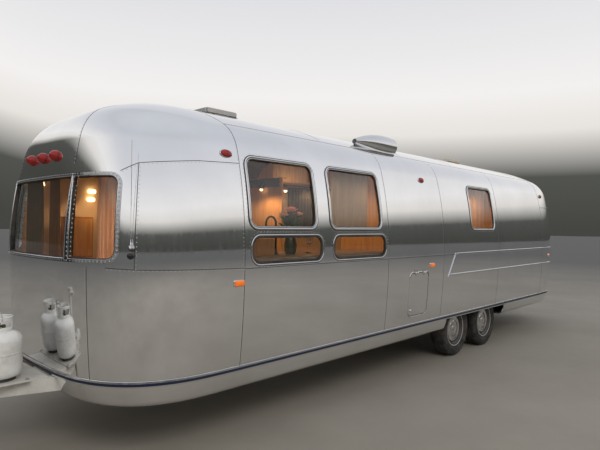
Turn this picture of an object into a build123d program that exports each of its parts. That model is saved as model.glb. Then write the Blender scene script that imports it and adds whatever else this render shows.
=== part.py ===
from build123d import *
from math import asin, atan2, cos, pi, radians, sin, sqrt
import os

os.makedirs("parts", exist_ok=True)

# A polished aluminium travel caravan with two axles, parked on its wheels and its tongue jack.
# Millimetres. X points to the coupler, Y to the caravan's left, Z up, and the ground is Z = 0.

# Driving sizes of the shell
BODY_LENGTH = 8400
BODY_HALF = 1222
FRONT_DEPTH = 1090
REAR_DEPTH = 1050
PLAN_POWER = 3.1
BELT_Z = 575
WIDEST_Z = 1400
CROWN_Z = 2690
LOWER_RADIUS = 6830
UPPER_RADIUS = 3200
SIDE_SHOULDER = 360
SIDE_SHOULDER_Z = 2230
FRONT_SHOULDER = 400
FRONT_SHOULDER_Z = 2270
REAR_SHOULDER = 600
REAR_SHOULDER_Z = 2000
WALL = 45
POLE_RADIUS = 120
CAP_STEP = 15
FIT = 0.3
SLIDE_FIT = 0.5
LOFT_FIT = 4
RAIL_FIT = 0.8
GAP = 7

# Lengths beyond the shell
TONGUE_REACH = 1030
BUMPER_REACH = 150
TOTAL_LENGTH = TONGUE_REACH + BODY_LENGTH + BUMPER_REACH
BELT_INSET = LOWER_RADIUS - sqrt(LOWER_RADIUS**2 - (WIDEST_Z - BELT_Z) ** 2)
NOSE_X = TOTAL_LENGTH / 2 - TONGUE_REACH
TAIL_X = NOSE_X - BODY_LENGTH
SEAM_X = NOSE_X - (FRONT_DEPTH - BELT_INSET)
REAR_SEAM_X = TAIL_X + (REAR_DEPTH - BELT_INSET)
STRAIGHT = SEAM_X - REAR_SEAM_X


def back(distance):
    # A place measured back from the front seam, as the side windows and doors are
    return SEAM_X - distance


# Underside
WRAP_SKIN = 12
BELLY_Z = 400
WRAP_CORNER = 70
WRAP_TUCK = 36
FLOOR_THICK = 18
FLOOR_TOP = BELT_Z
RAIL_TOP = BELT_Z - FLOOR_THICK
TONGUE_TOP = BELT_Z - 27
RAIL_Y = 620
RAIL_WIDTH = 50
BEAM_HEIGHT = 100

# Running gear
TYRE_RADIUS = 345
TYRE_WIDTH = 205
TYRE_BEAD = 195
TYRE_SIDES = 72
HUB_INSET = 267
HUB_Y = BODY_HALF - HUB_INSET
AXLE_SPACING = 854
FRONT_AXLE_BACK = 3716
ARCH_AHEAD = 486
ARCH_BEHIND = 400
AXLE_TUBE = 76
AXLE_LEAD = 150
SPINDLE = 30 - SLIDE_FIT

# Windows. On the sides, front and back are distances behind the front seam
WINDOW_FRAME = 26
WINDOW_PROUD = 8
GLASS_THICK = 6
GLASS_DEPTH = 14
SIDE_WINDOWS = (
    # side, front, back, foot, head, corner
    (1, 43, 827, 1621, 2200, 90),
    (1, 60, 900, 1345, 1588, 95),
    (1, 986, 1797, 1621, 2200, 90),
    (1, 1020, 1864, 1345, 1588, 95),
    (1, 3764, 4500, 1621, 2200, 90),
    (-1, 43, 827, 1621, 2200, 90),
    (-1, 60, 900, 1345, 1588, 95),
    (-1, 2780, 3440, 1621, 2200, 90),
    (-1, 3764, 4500, 1621, 2200, 90),
    (-1, 5250, 5850, 1621, 2200, 90),
)
SCREEN_FOOT = 1391
SCREEN_HEAD = 2006
SCREEN_HALF = 585
SCREEN_POST = 50
WING_ANGLE = 52
WING_SPAN = 414
WING_CENTRE = 21
WING_CORNER = 90
REAR_WINDOW_HALF = 600
REAR_WINDOW_FOOT = 1450
REAR_WINDOW_CORNER = 90

# Entry door in the right wall
DOOR_FRONT = 1060
DOOR_WIDTH = 680
DOOR_FOOT = 610
DOOR_HEAD = 2190
DOOR_CORNER = 110
DOOR_SKIN = 8
DOOR_STEP = 16
DOOR_HINGE_Y = BODY_HALF + 16
HINGE_RADIUS = 9
HINGE_PIN = 4
HINGE_LONG = 90
DOOR_HINGES = (820, 1400, 1990)
DOOR_LIGHT_INSET = 130
DOOR_LIGHT_FOOT = 1560
DOOR_LIGHT_HEAD = 2060
DOOR_LIGHT_CORNER = 70
HANDLE_Z = 1280

# Tall service hatch in the left wall
HATCH_FRONT = 2330
HATCH_BACK = 2700
HATCH_FOOT = 690
HATCH_HEAD = 1150
HATCH_CORNER = 45
HATCH_THICK = 20

# Tongue
BEAM_WIDTH = 50
BEAM_SPLAY = 20
BEAM_TIP = 150
NOSE_MEMBER = 70
BOTTLE_RADIUS = 155
BOTTLE_FORWARD = 318
BOTTLE_Y = 183
BOTTLE_SHOULDER = 345
COLLAR_RADIUS = 90
COLLAR_TALL = 110
DECK_THICK = 3
DECK_HALF = 300
JACK_FORWARD = 690
JACK_TUBE_RADIUS = 30
JACK_LEG_RADIUS = 24
JACK_TOP = 1010
JACK_FOOT_RADIUS = 85
COUPLER_BALL = 30
COUPLER_NOSE = 62
JACK_PLATE = 8
JACK_HANG = 190
JACK_TRAVEL = 250
RAIL_NOSE = 330
RAIL_TAIL = 700
CROSS_INSET = 172
CROSS_HALF = BODY_HALF - CROSS_INSET
CROSS_MEMBERS = (900, 1900, 2900, 5400, 6300)
TRAY_THICK = 12
BUMPER_DEEP = 60
BUMPER_INSET = 322
BUMPER_HALF = BODY_HALF - BUMPER_INSET
BUMPER_TALL = 110
ARM_LIFT = 20
ARM_TALL = 80
LID_THICK = 6

# Wheel wells, step, vents and cowl
WELL_SIDE = 75
WELL_SKIN = 10
WELL_TOP = 800
STEP_WIDTH = 560
STEP_DEEP = 260
STEP_INSET = 112
STEP_EDGE = BODY_HALF - STEP_INSET
STEP_TRAVEL = 260
VENT_HALF = 190
VENT_LID = 46
VENT_PLACES = (back(560), back(5300))
COWL_FRONT = 1850
COWL_LONG = 640
COWL_INSET = 422
COWL_Y = BODY_HALF - COWL_INSET
COWL_Z = 2565
COWL_TILT = -20

# Belt rail, rear band and lamps
BELT_TALL = 48
BELT_PROUD = 12
INSERT_TALL = 18
BAND_TOP = 1335
BAND_FOOT = 1085
BAND_MIDDLE = 1210
BAND_TOP_FRONT = 3370
BAND_FOOT_FRONT = 3200
RED_ANGLE = 6
RED_Z = 2188
RED_MIDDLE = 2665
AMBER_Z = 1225
AMBER_BACK = 2775
LAMP_PROUD = 28
ROOF_LAMP_Y = 250
ROOF_LAMP_Z = 2150
ANTENNA_ANGLE = 38.3
ANTENNA_Z = 1445
ANTENNA_LONG = 760

# Fittings inside
GALLEY_FRONT = 60
GALLEY_BACK = 2000
GALLEY_DEEP = 602
GALLEY_Y = BODY_HALF - GALLEY_DEEP
GALLEY_TOP = 1400
COUNTER = 28
COUNTER_NOSE = 15
LOCKER_DEEP = 462
LOCKER_FOOT = 2240
LOCKER_HEAD = 2500
LOCKERS = (
    # side, front, back
    (1, 900, 3500),
    (-1, 60, 1000),
    (-1, 2110, 6000),
)
SEAT_TOP = 900
CUSHION = 110
PAD_INSET = 10
LOUNGE_FRONT = -700
LOUNGE_BACK = -80
LOUNGE_INSET = 422
SIDE_SEATS = (
    # front, back, inner edge, cushioned
    (2740, 3180, 500, False),
    (5020, 6200, 330, True),
)
PARTITIONS = (
    # side, distance behind the front seam
    (1, 2260),
    (-1, 1850),
    (1, 4990),
    (-1, 4990),
)
PARTITION_THICK = 18
AISLE_HALF = 300
HEATER_INSET = 122
HEATER_DEEP = 400
HEATER_MARGIN = 20


def save(name, *solids):
    shape = solids[0] if len(solids) == 1 else Compound(children=list(solids))
    export_step(shape, f"parts/{name}.step")


def box(x0, x1, y0, y1, z0, z1):
    return Pos((x0 + x1) / 2, (y0 + y1) / 2, (z0 + z1) / 2) * Box(abs(x1 - x0), abs(y1 - y0), abs(z1 - z0))


def rod(start, end, radius):
    a = Vector(*start)
    b = Vector(*end)
    return extrude(Plane(origin=a, z_dir=b - a) * Circle(radius), amount=(b - a).length)


def plan_radius(angle, depth):
    # Distance from the cap's axis to the widest line at an angle from the side, rounded square in plan
    across = abs(cos(angle)) / BODY_HALF
    along = abs(sin(angle)) / depth
    return (across**PLAN_POWER + along**PLAN_POWER) ** (-1 / PLAN_POWER)


def wall_outline(widest, shoulder, shoulder_z, inset):
    # Three-point arcs up the wall: lower wall, upper wall, shoulder, then the roof in to the pole
    lower = LOWER_RADIUS - inset
    upper = UPPER_RADIUS - inset
    turn = shoulder - inset
    reach = widest - inset
    lean = asin((shoulder_z - WIDEST_Z) / UPPER_RADIUS)

    def lower_point(z):
        return reach - lower + sqrt(lower**2 - (WIDEST_Z - z) ** 2), z

    def upper_point(a):
        return reach - upper * (1 - cos(a)), WIDEST_Z + upper * sin(a)

    points = [lower_point(BELT_Z), lower_point((BELT_Z + WIDEST_Z) / 2), (reach, WIDEST_Z)]
    points += [upper_point(lean / 2), upper_point(lean)]
    end_r, end_z = points[-1]
    centre_r = end_r - turn * cos(lean)
    centre_z = end_z - turn * sin(lean)
    drop = CROWN_Z - inset - turn - centre_z
    span = (drop**2 + centre_r**2) / (2 * drop)
    top = atan2(span - drop, centre_r)
    for a in ((lean + top) / 2, top):
        points.append((centre_r + turn * cos(a), centre_z + turn * sin(a)))
    roof = span + turn
    tilt = pi / 2 - top
    pole = asin(POLE_RADIUS / roof)
    for a in ((tilt + pole) / 2, pole):
        points.append((roof * sin(a), CROWN_Z - inset - roof + roof * cos(a)))
    return points


def arcs(points, place):
    return [
        Edge.make_three_point_arc(place(*points[k]), place(*points[k + 1]), place(*points[k + 2]))
        for k in range(0, len(points) - 2, 2)
    ]


def wall_face(outer, inner, place):
    # A slice of the wall between two outlines that run the same way
    edges = arcs(outer, place)
    edges.append(Edge.make_line(place(*outer[-1]), place(*inner[-1])))
    edges += arcs(inner[::-1], place)
    edges.append(Edge.make_line(place(*inner[0]), place(*outer[0])))
    return Face(Wire(edges))


def cap_values(front, angle):
    # The shoulder turns from the side's radius to the nose's or tail's as the slice swings round
    depth = FRONT_DEPTH if front else REAR_DEPTH
    nose = FRONT_SHOULDER if front else REAR_SHOULDER
    nose_z = FRONT_SHOULDER_Z if front else REAR_SHOULDER_Z
    share = sin(angle) ** 2
    shoulder = SIDE_SHOULDER + (nose - SIDE_SHOULDER) * share
    shoulder_z = SIDE_SHOULDER_Z + (nose_z - SIDE_SHOULDER_Z) * share
    return plan_radius(angle, depth), shoulder, shoulder_z


def cap_place(front, angle):
    axis = SEAM_X if front else REAR_SEAM_X
    way = 1 if front else -1
    return lambda r, z: Vector(axis + way * r * sin(angle), r * cos(angle), z)


def cap_shell(front, near, far):
    # End cap between two insets, lofted through upright slices round the axis at its seam
    wires = []
    for step in range(0, 181, CAP_STEP):
        angle = radians(step)
        widest, shoulder, shoulder_z = cap_values(front, angle)
        outer = wall_outline(widest, shoulder, shoulder_z, near)
        inner = wall_outline(widest, shoulder, shoulder_z, far)
        wires.append(wall_face(outer, inner, cap_place(front, angle)).outer_wire())
    return Solid.make_loft(wires)


def side_outline(inset):
    return wall_outline(BODY_HALF, SIDE_SHOULDER, SIDE_SHOULDER_Z, inset)


def side_shell(side, near, far):
    face = wall_face(side_outline(near)[:7], side_outline(far)[:7], lambda r, z: Vector(REAR_SEAM_X, side * r, z))
    return extrude(face, amount=STRAIGHT, dir=(1, 0, 0))


def roof_shell(near, far):
    edge_out = side_outline(near)[6]
    edge_in = side_outline(far)[6]
    ends = []
    for (y, z), crown in ((edge_out, CROWN_Z - near), (edge_in, CROWN_Z - far)):
        ends.append((Vector(REAR_SEAM_X, -y, z), Vector(REAR_SEAM_X, 0, crown), Vector(REAR_SEAM_X, y, z)))
    over, under = ends
    edges = [
        Edge.make_three_point_arc(*over),
        Edge.make_line(over[2], under[2]),
        Edge.make_three_point_arc(*under[::-1]),
        Edge.make_line(under[0], over[0]),
    ]
    return extrude(Face(Wire(edges)), amount=STRAIGHT, dir=(1, 0, 0))


def pole_disc(front):
    # Half disc that closes the crown where the cap's segments meet, domed like the roof
    axis = SEAM_X if front else REAR_SEAM_X
    radius = POLE_RADIUS - FIT
    drop = radius**2 / (2 * UPPER_RADIUS)
    profile = Polyline((0, 0), (radius, -drop), (radius, -drop - WALL), (0, -WALL), close=True)
    half = revolve(Plane.XZ * make_face(profile), Axis.Z, 180)
    return Pos(axis, 0, CROWN_Z) * Rot(0, 0, -90 if front else 90) * half


def hoop(profile, ends=(True, False), sides=(1, -1), run=STRAIGHT):
    # A moulding that follows the plan at one height: profile(widest) gives its corners as (r, z)
    solids = []
    for front in ends:
        wires = []
        for step in range(0, 181, CAP_STEP):
            angle = radians(step)
            place = cap_place(front, angle)
            corners = [place(r, z) for r, z in profile(cap_values(front, angle)[0])]
            wires.append(Wire(Polyline(*corners, close=True).edges()))
        solids.append(Solid.make_loft(wires))
    for side in sides:
        corners = [Vector(REAR_SEAM_X, side * r, z) for r, z in profile(BODY_HALF)]
        face = make_face(Polyline(*corners, close=True))
        solids.append(extrude(face, amount=run, dir=(1, 0, 0)))
    return solids


def surface(widest, z):
    # Distance of the lower wall's surface from the plan's axis at a height
    return widest - LOWER_RADIUS + sqrt(LOWER_RADIUS**2 - (WIDEST_Z - z) ** 2)


def rounded(width, height, corner):
    return RectangleRounded(width, height, corner)


def side_prism(side, front, rear, foot, head, corner, grow=0.0):
    # A rounded opening seen from the side, as a prism through the wall
    width = rear - front + 2 * grow
    height = head - foot + 2 * grow
    plane = Plane(origin=(back((front + rear) / 2), side * (BODY_HALF - 300), (foot + head) / 2),
                  x_dir=(1, 0, 0), z_dir=(0, side, 0))
    return extrude(plane * rounded(width, height, max(corner + grow, 5)), amount=400)


def make_side_windows():
    band = {s: side_shell(s, -WINDOW_PROUD, WALL) for s in (1, -1)}
    pane = {s: side_shell(s, GLASS_DEPTH, GLASS_DEPTH + GLASS_THICK) for s in (1, -1)}
    frames = []
    panes = []
    holes = {1: [], -1: []}
    for side, front, rear, foot, head, corner in SIDE_WINDOWS:
        place = (side, front, rear, foot, head, corner)
        holes[side].append(side_prism(*place))
        frames.append(band[side] & (side_prism(*place, -FIT) - side_prism(*place, -WINDOW_FRAME)))
        panes.append(pane[side] & side_prism(*place, -WINDOW_FRAME - FIT))
    return holes, frames, panes


def screen_prism(grow, joined):
    # The front screen: a middle light and two wings that wrap the corners, with or without the posts
    height = SCREEN_HEAD - SCREEN_FOOT + 2 * grow
    middle = (SCREEN_FOOT + SCREEN_HEAD) / 2
    half = SCREEN_HALF + SCREEN_POST if joined else SCREEN_HALF + grow
    screen = Pos(SEAM_X + FRONT_DEPTH - 200, 0, middle) * Box(600, 2 * half, height)
    for side in (1, -1):
        a = radians(WING_ANGLE)
        out = Vector(sin(a), side * cos(a), 0)
        run = Vector(cos(a), -side * sin(a), 0)
        centre = Vector(SEAM_X, 0, middle) + out * 600 - run * WING_CENTRE
        plane = Plane(origin=centre, x_dir=run, z_dir=out)
        wing = plane * rounded(WING_SPAN + 2 * grow, height, WING_CORNER + grow)
        square = plane * Pos(WING_SPAN / 4, 0) * Rectangle(WING_SPAN / 2 + 2 * grow, height)
        screen += extrude(wing + square, amount=800)
    return screen


def faceted_ring(profile, sides):
    # A ring of flat facets round Z: profile gives its corners as (r, z), outside first, and the bore closes it
    def corner(k, r, z):
        a = 2 * pi * k / sides
        return Vector(r * cos(a), r * sin(a), z)

    faces = []
    for k in range(sides):
        for (r, z), (q, w) in zip(profile, profile[1:] + profile[:1]):
            corners = [corner(k, r, z), corner(k + 1, r, z), corner(k + 1, q, w), corner(k, q, w)]
            faces.append(Face(Wire.make_polygon(corners, close=True)))
    return Solid(Shell(faces))


def make_tyre():
    # Tread, shoulders, bulged sidewalls and beads. The bore's flats clear the rim's seat
    half = TYRE_WIDTH / 2
    bore = TYRE_BEAD / cos(pi / TYRE_SIDES)
    bulge = (TYRE_RADIUS + TYRE_BEAD) / 2
    side_wall = [(TYRE_RADIUS, 0.66 * half), (TYRE_RADIUS - 11, 0.86 * half), (bulge + 10, half),
                 (bulge - 22, half), (bore, 0.72 * half)]
    return faceted_ring(side_wall + [(r, -z) for r, z in side_wall[::-1]], TYRE_SIDES)


def make_wheel(index, x, side, tread):
    plane = Plane(origin=(x, side * HUB_Y, TYRE_RADIUS), x_dir=(1, 0, 0), z_dir=(0, side, 0))
    bead_half = 0.72 * TYRE_WIDTH / 2
    tyre = plane.location * tread
    seat = TYRE_BEAD - FIT
    rim = [
        (38, 30), (120, 44), (165, 30), (178, 62), (seat, bead_half + 6), (seat, -bead_half - 6), (178, -62),
        (172, 12), (120, 22), (38, 12),
    ]
    disc = plane.location * revolve(Plane.XZ * make_face(Polyline(*rim, close=True)), Axis.Z, 360)
    # The hubcap's pressed face, from its middle out, then its back and the stub that the spindle fills
    hub = [
        (0, 56), (24, 54), (33, 49), (66, 53), (90, 56), (102, 53), (124, 50), (136, 51), (154, 56), (162, 50),
        (162, 42), (120, 44 + FIT), (38, 30 + FIT), (38, 12), (38, -30), (30, -30), (30, 20), (0, 20),
    ]
    cap = plane.location * revolve(Plane.XZ * make_face(Polyline(*hub, close=True)), Axis.Z, 360)
    save(f"tyre_{index}", tyre)
    save(f"wheel_{index}", disc)
    save(f"hubcap_{index}", cap)


def hinge(plane, seat_fixed, seat_moving, leaf=42, length=HINGE_LONG):
    # Local Z runs along the pin, local X points to the fixed leaf and local Y away from the surface
    part = length / 6

    def leaves(way, low, high, seat):
        plate = box(way * 4, way * leaf, -seat, -seat + 3, low, high)
        return plate + box(way * 4, way * 9, -seat, 0, low, high)

    fixed = Cylinder(HINGE_PIN, length)
    moving = Cylinder(HINGE_RADIUS, 2 * part - 1) + leaves(-1, 0.5 - part, part - 0.5, seat_moving)
    moving -= Cylinder(HINGE_PIN + 0.4, length)
    for way in (1, -1):
        low, high = sorted((way * part, way * 3 * part))
        fixed += Pos(0, 0, way * 2 * part) * Cylinder(HINGE_RADIUS, 2 * part)
        fixed += leaves(1, low, high, seat_fixed)
    return plane.location * fixed, plane.location * moving


def side_at(z):
    # Half width of the side wall at a height
    if z < WIDEST_Z:
        return BODY_HALF - LOWER_RADIUS + sqrt(LOWER_RADIUS**2 - (WIDEST_Z - z) ** 2)
    return BODY_HALF - UPPER_RADIUS + sqrt(UPPER_RADIUS**2 - (z - WIDEST_Z) ** 2)


def cap_radius(front, angle, z):
    # Distance of the cap's surface from its axis at a height up to the shoulder's top
    widest, shoulder, shoulder_z = cap_values(front, angle)
    if z < WIDEST_Z:
        return surface(widest, z)
    if z < shoulder_z:
        return widest - UPPER_RADIUS + sqrt(UPPER_RADIUS**2 - (z - WIDEST_Z) ** 2)
    lean = asin((shoulder_z - WIDEST_Z) / UPPER_RADIUS)
    centre_r = widest - UPPER_RADIUS * (1 - cos(lean)) - shoulder * cos(lean)
    centre_z = shoulder_z - shoulder * sin(lean)
    return centre_r + sqrt(shoulder**2 - (z - centre_z) ** 2)


def cap_plane(front, angle, z):
    # A plane that touches the cap, its X level and its Z outward
    def point(a, h):
        return cap_place(front, a)(cap_radius(front, a, h), h)

    here = point(angle, z)
    level = (point(angle + 0.01, z) - here).normalized()
    rise = (point(angle, z + 5) - here).normalized()
    normal = level.cross(rise).normalized()
    axis = Vector(SEAM_X if front else REAR_SEAM_X, 0, z)
    if normal.dot(here - axis) < 0:
        normal = -normal
        level = -level
    return Plane(origin=here, x_dir=level, z_dir=normal)


def side_plane(side, distance, z):
    slope = (side_at(z + 5) - side_at(z - 5)) / 10
    normal = Vector(0, side, -slope).normalized()
    return Plane(origin=(back(distance), side * side_at(z), z), x_dir=(side, 0, 0), z_dir=normal)


def make_shell():
    holes, frames, panes = make_side_windows()
    left = side_shell(1, 0, WALL)
    for hole in holes[1]:
        left -= hole
    save("wall_left", left - hatch_prism(GAP))
    right = side_shell(-1, 0, WALL)
    for hole in holes[-1]:
        right -= hole
    save("wall_right", right - door_prism(GAP))
    roof = roof_shell(0, WALL) + pole_disc(True) + pole_disc(False)
    joints = []
    for x in VENT_PLACES:
        roof -= box(x - VENT_HALF, x + VENT_HALF, -VENT_HALF, VENT_HALF, CROWN_Z - 150, CROWN_Z + 60)
        joints += [x + VENT_HALF, x - VENT_HALF]
    sheets = []
    for ahead, behind in zip([SEAM_X + FRONT_DEPTH] + joints, joints + [REAR_SEAM_X - REAR_DEPTH]):
        span = box(behind + FIT / 2, ahead - FIT / 2, -BODY_HALF, BODY_HALF, CROWN_Z - 600, CROWN_Z + 60)
        sheets += (roof & span).solids()
    save("roof_panel", *sheets)

    front = cap_shell(True, 0, WALL) - screen_prism(0, True)
    save("front_cap", front)
    frame = cap_shell(True, -WINDOW_PROUD, WALL) & (screen_prism(-FIT, True) - screen_prism(-WINDOW_FRAME, False))
    save("screen_frame", frame)
    lights = cap_shell(True, GLASS_DEPTH, GLASS_DEPTH + GLASS_THICK) & screen_prism(-WINDOW_FRAME - FIT, False)
    panes += lights.solids()

    rear = cap_shell(False, 0, WALL) - rear_window_prism(0)
    save("rear_cap", rear)
    ring = rear_window_prism(-FIT) - rear_window_prism(-WINDOW_FRAME)
    frames += (cap_shell(False, -WINDOW_PROUD, WALL) & ring).solids()
    light = cap_shell(False, GLASS_DEPTH, GLASS_DEPTH + GLASS_THICK) & rear_window_prism(-WINDOW_FRAME - FIT)
    panes += light.solids()
    save("window_frames", *frames)
    save("window_glass", *panes)


def hatch_prism(grow):
    return side_prism(1, HATCH_FRONT, HATCH_BACK, HATCH_FOOT, HATCH_HEAD, HATCH_CORNER, grow)


def door_prism(grow):
    place = (back(DOOR_FRONT + DOOR_WIDTH / 2), -BODY_HALF - 100, (DOOR_FOOT + DOOR_HEAD) / 2)
    plane = Plane(origin=place, x_dir=(1, 0, 0), z_dir=(0, -1, 0))
    outline = rounded(DOOR_WIDTH + 2 * grow, DOOR_HEAD - DOOR_FOOT + 2 * grow, DOOR_CORNER + grow)
    return extrude(plane * outline, amount=-500)


def rear_window_prism(grow):
    plane = Plane(origin=(REAR_SEAM_X - REAR_DEPTH - 100, 0, (REAR_WINDOW_FOOT + SCREEN_HEAD) / 2),
                  x_dir=(0, 1, 0), z_dir=(1, 0, 0))
    width = 2 * REAR_WINDOW_HALF + 2 * grow
    height = SCREEN_HEAD - REAR_WINDOW_FOOT + 2 * grow
    return extrude(plane * rounded(width, height, REAR_WINDOW_CORNER + grow), amount=400)


def wrap_outline(widest):
    # The lower body: down from the belt, tucked in, then turned under to the belly
    top = surface(widest, BELT_Z)
    low = top - WRAP_TUCK
    return [
        (top, BELT_Z),
        (top - 0.35 * WRAP_TUCK, BELT_Z - 75),
        (low, BELLY_Z + WRAP_CORNER - 20),
        (low - 22, BELLY_Z + 18),
        (low - WRAP_CORNER, BELLY_Z),
    ]


def wrap_section(widest):
    outer = wrap_outline(widest)
    inner = [(r - WRAP_SKIN, z) for r, z in outer[:3]]
    inner += [(outer[3][0] - 10, outer[3][1] + 8), (outer[4][0], BELLY_Z + WRAP_SKIN)]
    return outer + inner[::-1]


def flat_plan(half_at, foot, thick):
    # A level sheet that follows the shell's plan: half_at(widest) gives its edge
    sheet = box(REAR_SEAM_X, SEAM_X, -half_at(BODY_HALF), half_at(BODY_HALF), foot, foot + thick)
    for front in (True, False):
        points = []
        for step in range(0, 181, CAP_STEP):
            angle = radians(step)
            points.append(cap_place(front, angle)(half_at(cap_values(front, angle)[0]), foot))
        edge = [Spline(*points), Line(points[-1], points[0])]
        sheet += extrude(make_face(edge), amount=thick, dir=(0, 0, 1))
    return sheet


def arch_box(side, inner, foot, head, grow=0):
    ahead = back(FRONT_AXLE_BACK) + ARCH_AHEAD + grow
    behind = back(FRONT_AXLE_BACK + AXLE_SPACING) - ARCH_BEHIND - grow
    return box(behind, ahead, side * inner, side * (BODY_HALF + 50), foot, head)


def make_underside():
    well_inner = HUB_Y - TYRE_WIDTH / 2 - WELL_SIDE
    panels = hoop(wrap_section)
    trimmed = []
    for panel in panels:
        for side in (1, -1):
            panel -= arch_box(side, well_inner, BELLY_Z - 10, BELT_Z + 5)
            panel -= tongue_beam(side, FIT)
            panel -= bumper_arm(side, FIT)
        trimmed += panel.solids()
    save("lower_wrap", *trimmed)

    def belly_half(widest):
        return wrap_outline(widest)[-1][0] - 3 * LOFT_FIT

    def floor_half(widest):
        return surface(widest, BELT_Z) - WRAP_SKIN - 3 * LOFT_FIT

    belly = flat_plan(belly_half, BELLY_Z, WRAP_SKIN)
    floor = flat_plan(floor_half, RAIL_TOP, FLOOR_THICK)
    wells = []
    for side in (1, -1):
        belly -= arch_box(side, well_inner, BELLY_Z - 10, BELLY_Z + 50)
        floor -= arch_box(side, well_inner, RAIL_TOP - 5, FLOOR_TOP + 5)
        outer = surface(BODY_HALF, FLOOR_TOP) - WALL - FIT
        shell = arch_box(side, well_inner - WELL_SKIN, FLOOR_TOP, WELL_TOP + WELL_SKIN, WELL_SKIN)
        shell -= arch_box(side, well_inner, FLOOR_TOP - 5, WELL_TOP)
        shell -= box(-TOTAL_LENGTH, TOTAL_LENGTH, side * outer, side * (outer + 300), 0, 2000)
        wells.append(shell)
    save("belly_pan", belly)
    save("floor", floor)
    save("wheel_wells", *wells)


def tongue_beam(side, grow):
    # One leg of the A-frame, from the main rail to the coupler
    start = Vector(back(-150), side * (RAIL_Y + BEAM_SPLAY), 0)
    tip = Vector(NOSE_X + TONGUE_REACH - BEAM_TIP, side * 30, 0)
    run = (tip - start).normalized()
    plane = Plane(origin=Vector(start.X, start.Y, TONGUE_TOP - BEAM_HEIGHT - grow), x_dir=run, z_dir=(0, 0, 1))
    length = (tip - start).length
    foot = plane * Pos(length / 2, 0) * Rectangle(length + 2 * grow, BEAM_WIDTH + 2 * grow)
    return extrude(foot, amount=BEAM_HEIGHT + 2 * grow)


def beam_y(x):
    # Half width between the centre lines of the tongue's two beams
    start = back(-150)
    tip = NOSE_X + TONGUE_REACH - BEAM_TIP
    return RAIL_Y + BEAM_SPLAY - (RAIL_Y + BEAM_SPLAY - 30) * (x - start) / (tip - start)


def bumper_arm(side, grow):
    y = side * RAIL_Y
    foot = BELLY_Z + WRAP_SKIN + ARM_LIFT
    return box(TAIL_X - BUMPER_REACH + BUMPER_DEEP, REAR_SEAM_X - RAIL_TAIL + 80, y - 20 - grow, y + 20 + grow,
               foot - grow, foot + ARM_TALL + grow)


def make_chassis():
    rail_foot = BELLY_Z + WRAP_SKIN
    beam_foot = TONGUE_TOP - BEAM_HEIGHT
    frame = box(back(-100), back(-140), -RAIL_Y - 60, RAIL_Y + 60, beam_foot, RAIL_TOP)
    for side in (1, -1):
        near = side * (RAIL_Y - RAIL_WIDTH / 2)
        far = side * (RAIL_Y + RAIL_WIDTH / 2)
        frame += box(REAR_SEAM_X - RAIL_TAIL, back(-RAIL_NOSE), near, far, rail_foot, RAIL_TOP)
        frame += tongue_beam(side, 0)
        frame += bumper_arm(side, 0)
    for place in CROSS_MEMBERS:
        frame += box(back(place) - 20, back(place) + 20, -CROSS_HALF, CROSS_HALF, RAIL_TOP - 80, RAIL_TOP)
    cross = NOSE_X + NOSE_MEMBER
    reach = beam_y(cross)
    frame += box(cross - 25, cross + 25, -reach, reach, beam_foot, TONGUE_TOP)
    jack_x = NOSE_X + JACK_FORWARD
    frame += box(jack_x - 60, jack_x + 60, -140, 140, TONGUE_TOP, TONGUE_TOP + JACK_PLATE)
    frame -= rod((jack_x, 0, TONGUE_TOP - 150), (jack_x, 0, TONGUE_TOP + 50), JACK_TUBE_RADIUS + FIT)
    save("chassis", frame)

    tip = NOSE_X + TONGUE_REACH
    ball_x = tip - COUPLER_NOSE
    head = box(tip - 220, ball_x, -45, 45, TONGUE_TOP - 45, TONGUE_TOP + 20)
    head += Pos(ball_x, 0, TONGUE_TOP - 20) * Cylinder(COUPLER_NOSE, 50)
    head += Pos(ball_x, 0, TONGUE_TOP + 5) * (Sphere(COUPLER_NOSE - 8) & Pos(0, 0, 60) * Box(200, 200, 120))
    head -= Pos(ball_x, 0, TONGUE_TOP - 45) * Cylinder(COUPLER_BALL + 1, 60)
    for side in (1, -1):
        head -= tongue_beam(side, FIT)
    save("coupler", head)


def make_jack():
    x = NOSE_X + JACK_FORWARD
    base = TONGUE_TOP - JACK_HANG
    tube = rod((x, 0, base), (x, 0, JACK_TOP), JACK_TUBE_RADIUS)
    tube += rod((x, 0, TONGUE_TOP + JACK_PLATE), (x, 0, TONGUE_TOP + JACK_PLATE + 12), 55)
    tube -= rod((x, 0, base - 1), (x, 0, JACK_TOP - 20), JACK_LEG_RADIUS + SLIDE_FIT)
    tube += box(x - 42, x + 42, -42, 42, JACK_TOP, JACK_TOP + 70)
    crank = JACK_TOP + 40
    tube += rod((x, 42, crank), (x, 100, crank), 8)
    tube += box(x - 120, x + 12, 88, 100, crank - 10, crank + 10)
    tube += rod((x - 108, 100, crank), (x - 108, 190, crank), 11)
    save("jack_tube", tube)
    leg = rod((x, 0, 10), (x, 0, base + JACK_TRAVEL + 20), JACK_LEG_RADIUS)
    leg += rod((x, 0, 0), (x, 0, 10), JACK_FOOT_RADIUS)
    save("jack_leg", leg)


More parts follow.
